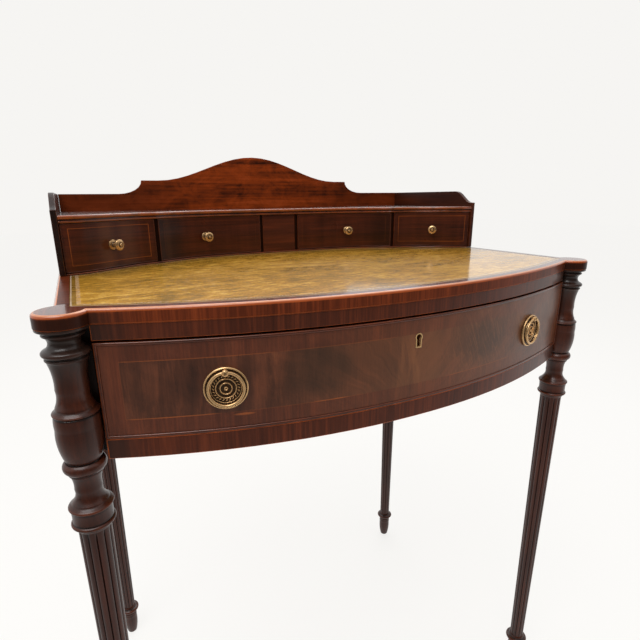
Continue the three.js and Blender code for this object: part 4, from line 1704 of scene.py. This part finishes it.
def pale_surface(name, colour, shown):
    """Floor that keeps its shadow, looks nearly as pale as the backdrop, and darkens in front"""
    finish = Finish(name, Roughness=0.9)
    finish.surface.inputs["Base Color"].default_value = linear(colour)
    x, y, _ = finish.place()
    camera, glossy = finish.ray("Camera"), finish.ray("Glossy")
    room = (y + x * 0.6).step(-2.6, 1.0) * 0.7 + 0.15
    values = {"Color": linear(colour), "Strength": camera + glossy * room}
    glow = finish.node("ShaderNodeEmission", values=values)
    lit = Wire(finish, finish.surface.outputs[0])
    shown_surface = finish.blend(camera * shown + glossy, lit, glow)
    finish.feed(finish.tree.nodes["Material Output"].inputs["Surface"], shown_surface)
    return finish.material


class MakeStage(bpy.types.Operator):
    """Camera, floor, studio dome and soft lamps"""

    bl_idname = "escritoire.stage"
    bl_label = "Stage"

    def execute(self, context):
        stage = context.scene.escritoire_stage
        context.scene.view_settings.view_transform = "Standard"
        self.camera(context, stage)
        self.floor(context, stage)
        self.dome(context, stage)
        self.lamps(context, stage)
        return {"FINISHED"}

    def camera(self, context, stage):
        data = bpy.data.cameras.new("camera")
        data.sensor_width = 36
        data.lens = stage.lens
        data.shift_x, data.shift_y = stage.lens_shift
        data.clip_start = 10 * MM
        camera = bpy.data.objects.new("camera", data)
        turn = Matrix.Rotation(-stage.camera_yaw, 4, "Z")
        tilt = Matrix.Rotation(math.pi / 2 - stage.camera_pitch, 4, "X")
        roll = Matrix.Rotation(stage.camera_roll, 4, "Z")
        camera.matrix_world = Matrix.Translation(stage.camera_place) @ turn @ tilt @ roll
        context.scene.collection.objects.link(camera)
        context.scene.camera = camera

    def floor(self, context, stage):
        reach = 14.0
        bm = bmesh.new()
        bmesh.ops.create_grid(bm, x_segments=4, y_segments=4, size=reach)
        mesh = bpy.data.meshes.new("floor")
        bm.to_mesh(mesh)
        bm.free()
        mesh.materials.append(pale_surface("studio_floor", stage.floor_colour, shown=0.82))
        floor = bpy.data.objects.new("floor", mesh)
        context.scene.collection.objects.link(floor)

    def dome(self, context, stage):
        """World: even light, a white backdrop for the camera, and a dim room in front for gloss"""
        world = bpy.data.worlds.new("studio")
        world.use_nodes = True
        nodes = Nodes(world.node_tree)
        even = nodes.tree.nodes["Background"]
        even.inputs["Color"].default_value = (1, 1, 1, 1)
        even.inputs["Strength"].default_value = stage.dome_strength
        _, y, z = nodes.split(nodes.node("ShaderNodeTexCoord", out="Generated"))
        dimmest = 0.02
        room = (z * 0.9 + y).step(-0.6, 0.3) * (1.0 - dimmest) + dimmest
        mirrored = nodes.node("ShaderNodeBackground", values={"Strength": room})
        backdrop = {"Color": linear(stage.backdrop)}
        seen = nodes.node("ShaderNodeBackground", values=backdrop)
        surface = nodes.blend(nodes.ray("Glossy"), Wire(nodes, even.outputs[0]), mirrored)
        surface = nodes.blend(nodes.ray("Camera"), surface, seen)
        nodes.feed(nodes.tree.nodes["World Output"].inputs["Surface"], surface)
        context.scene.world = world

    def lamps(self, context, stage):
        target = Vector((0, 0, DESK_TOP))
        for name, place, size, power in (
            ("key", (-0.9, -0.7, 2.6), 1.6, stage.key_power),
            ("back", (0.8, 1.4, 2.3), 1.8, stage.key_power * 0.7),
        ):
            data = bpy.data.lights.new(name, "AREA")
            data.shape = "SQUARE"
            data.size = size
            data.energy = power
            lamp = bpy.data.objects.new(name, data)
            lamp.location = place
            lamp.rotation_euler = (target - Vector(place)).to_track_quat("-Z", "Y").to_euler()
            context.scene.collection.objects.link(lamp)


OPERATORS = (
    MakeStage,
    MakeTop,
    MakeLeather,
    MakeFrontLegs,
    MakeBackLegs,
    MakeCase,
    MakeRails,
    MakeInnerCase,
    MakeLongFront,
    MakeLongBox,
    MakeLock,
    MakePulls,
    MakeGallery,
    MakeSmallDrawers,
    MakeKnobs,
)


class EscritoirePanel(bpy.types.Panel):
    """Lists the makers in the sidebar"""

    bl_idname = "VIEW3D_PT_escritoire"
    bl_label = "Escritoire"
    bl_space_type = "VIEW_3D"
    bl_region_type = "UI"
    bl_category = "Escritoire"

    def draw(self, context):
        for operator in OPERATORS:
            self.layout.operator(operator.bl_idname)


def register():
    for group in GROUPS.values():
        bpy.utils.register_class(group)
    for name, group in GROUPS.items():
        setattr(bpy.types.Scene, name, PointerProperty(type=group))
    for operator in OPERATORS:
        bpy.utils.register_class(operator)
    bpy.utils.register_class(EscritoirePanel)


def unregister():
    bpy.utils.unregister_class(EscritoirePanel)
    for operator in reversed(OPERATORS):
        bpy.utils.unregister_class(operator)
    for name, group in GROUPS.items():
        delattr(bpy.types.Scene, name)
        bpy.utils.unregister_class(group)


def main():
    register()
    for operator in OPERATORS:
        group, name = operator.bl_idname.split(".")
        getattr(getattr(bpy.ops, group), name)()


if __name__ == "__main__":
    main()
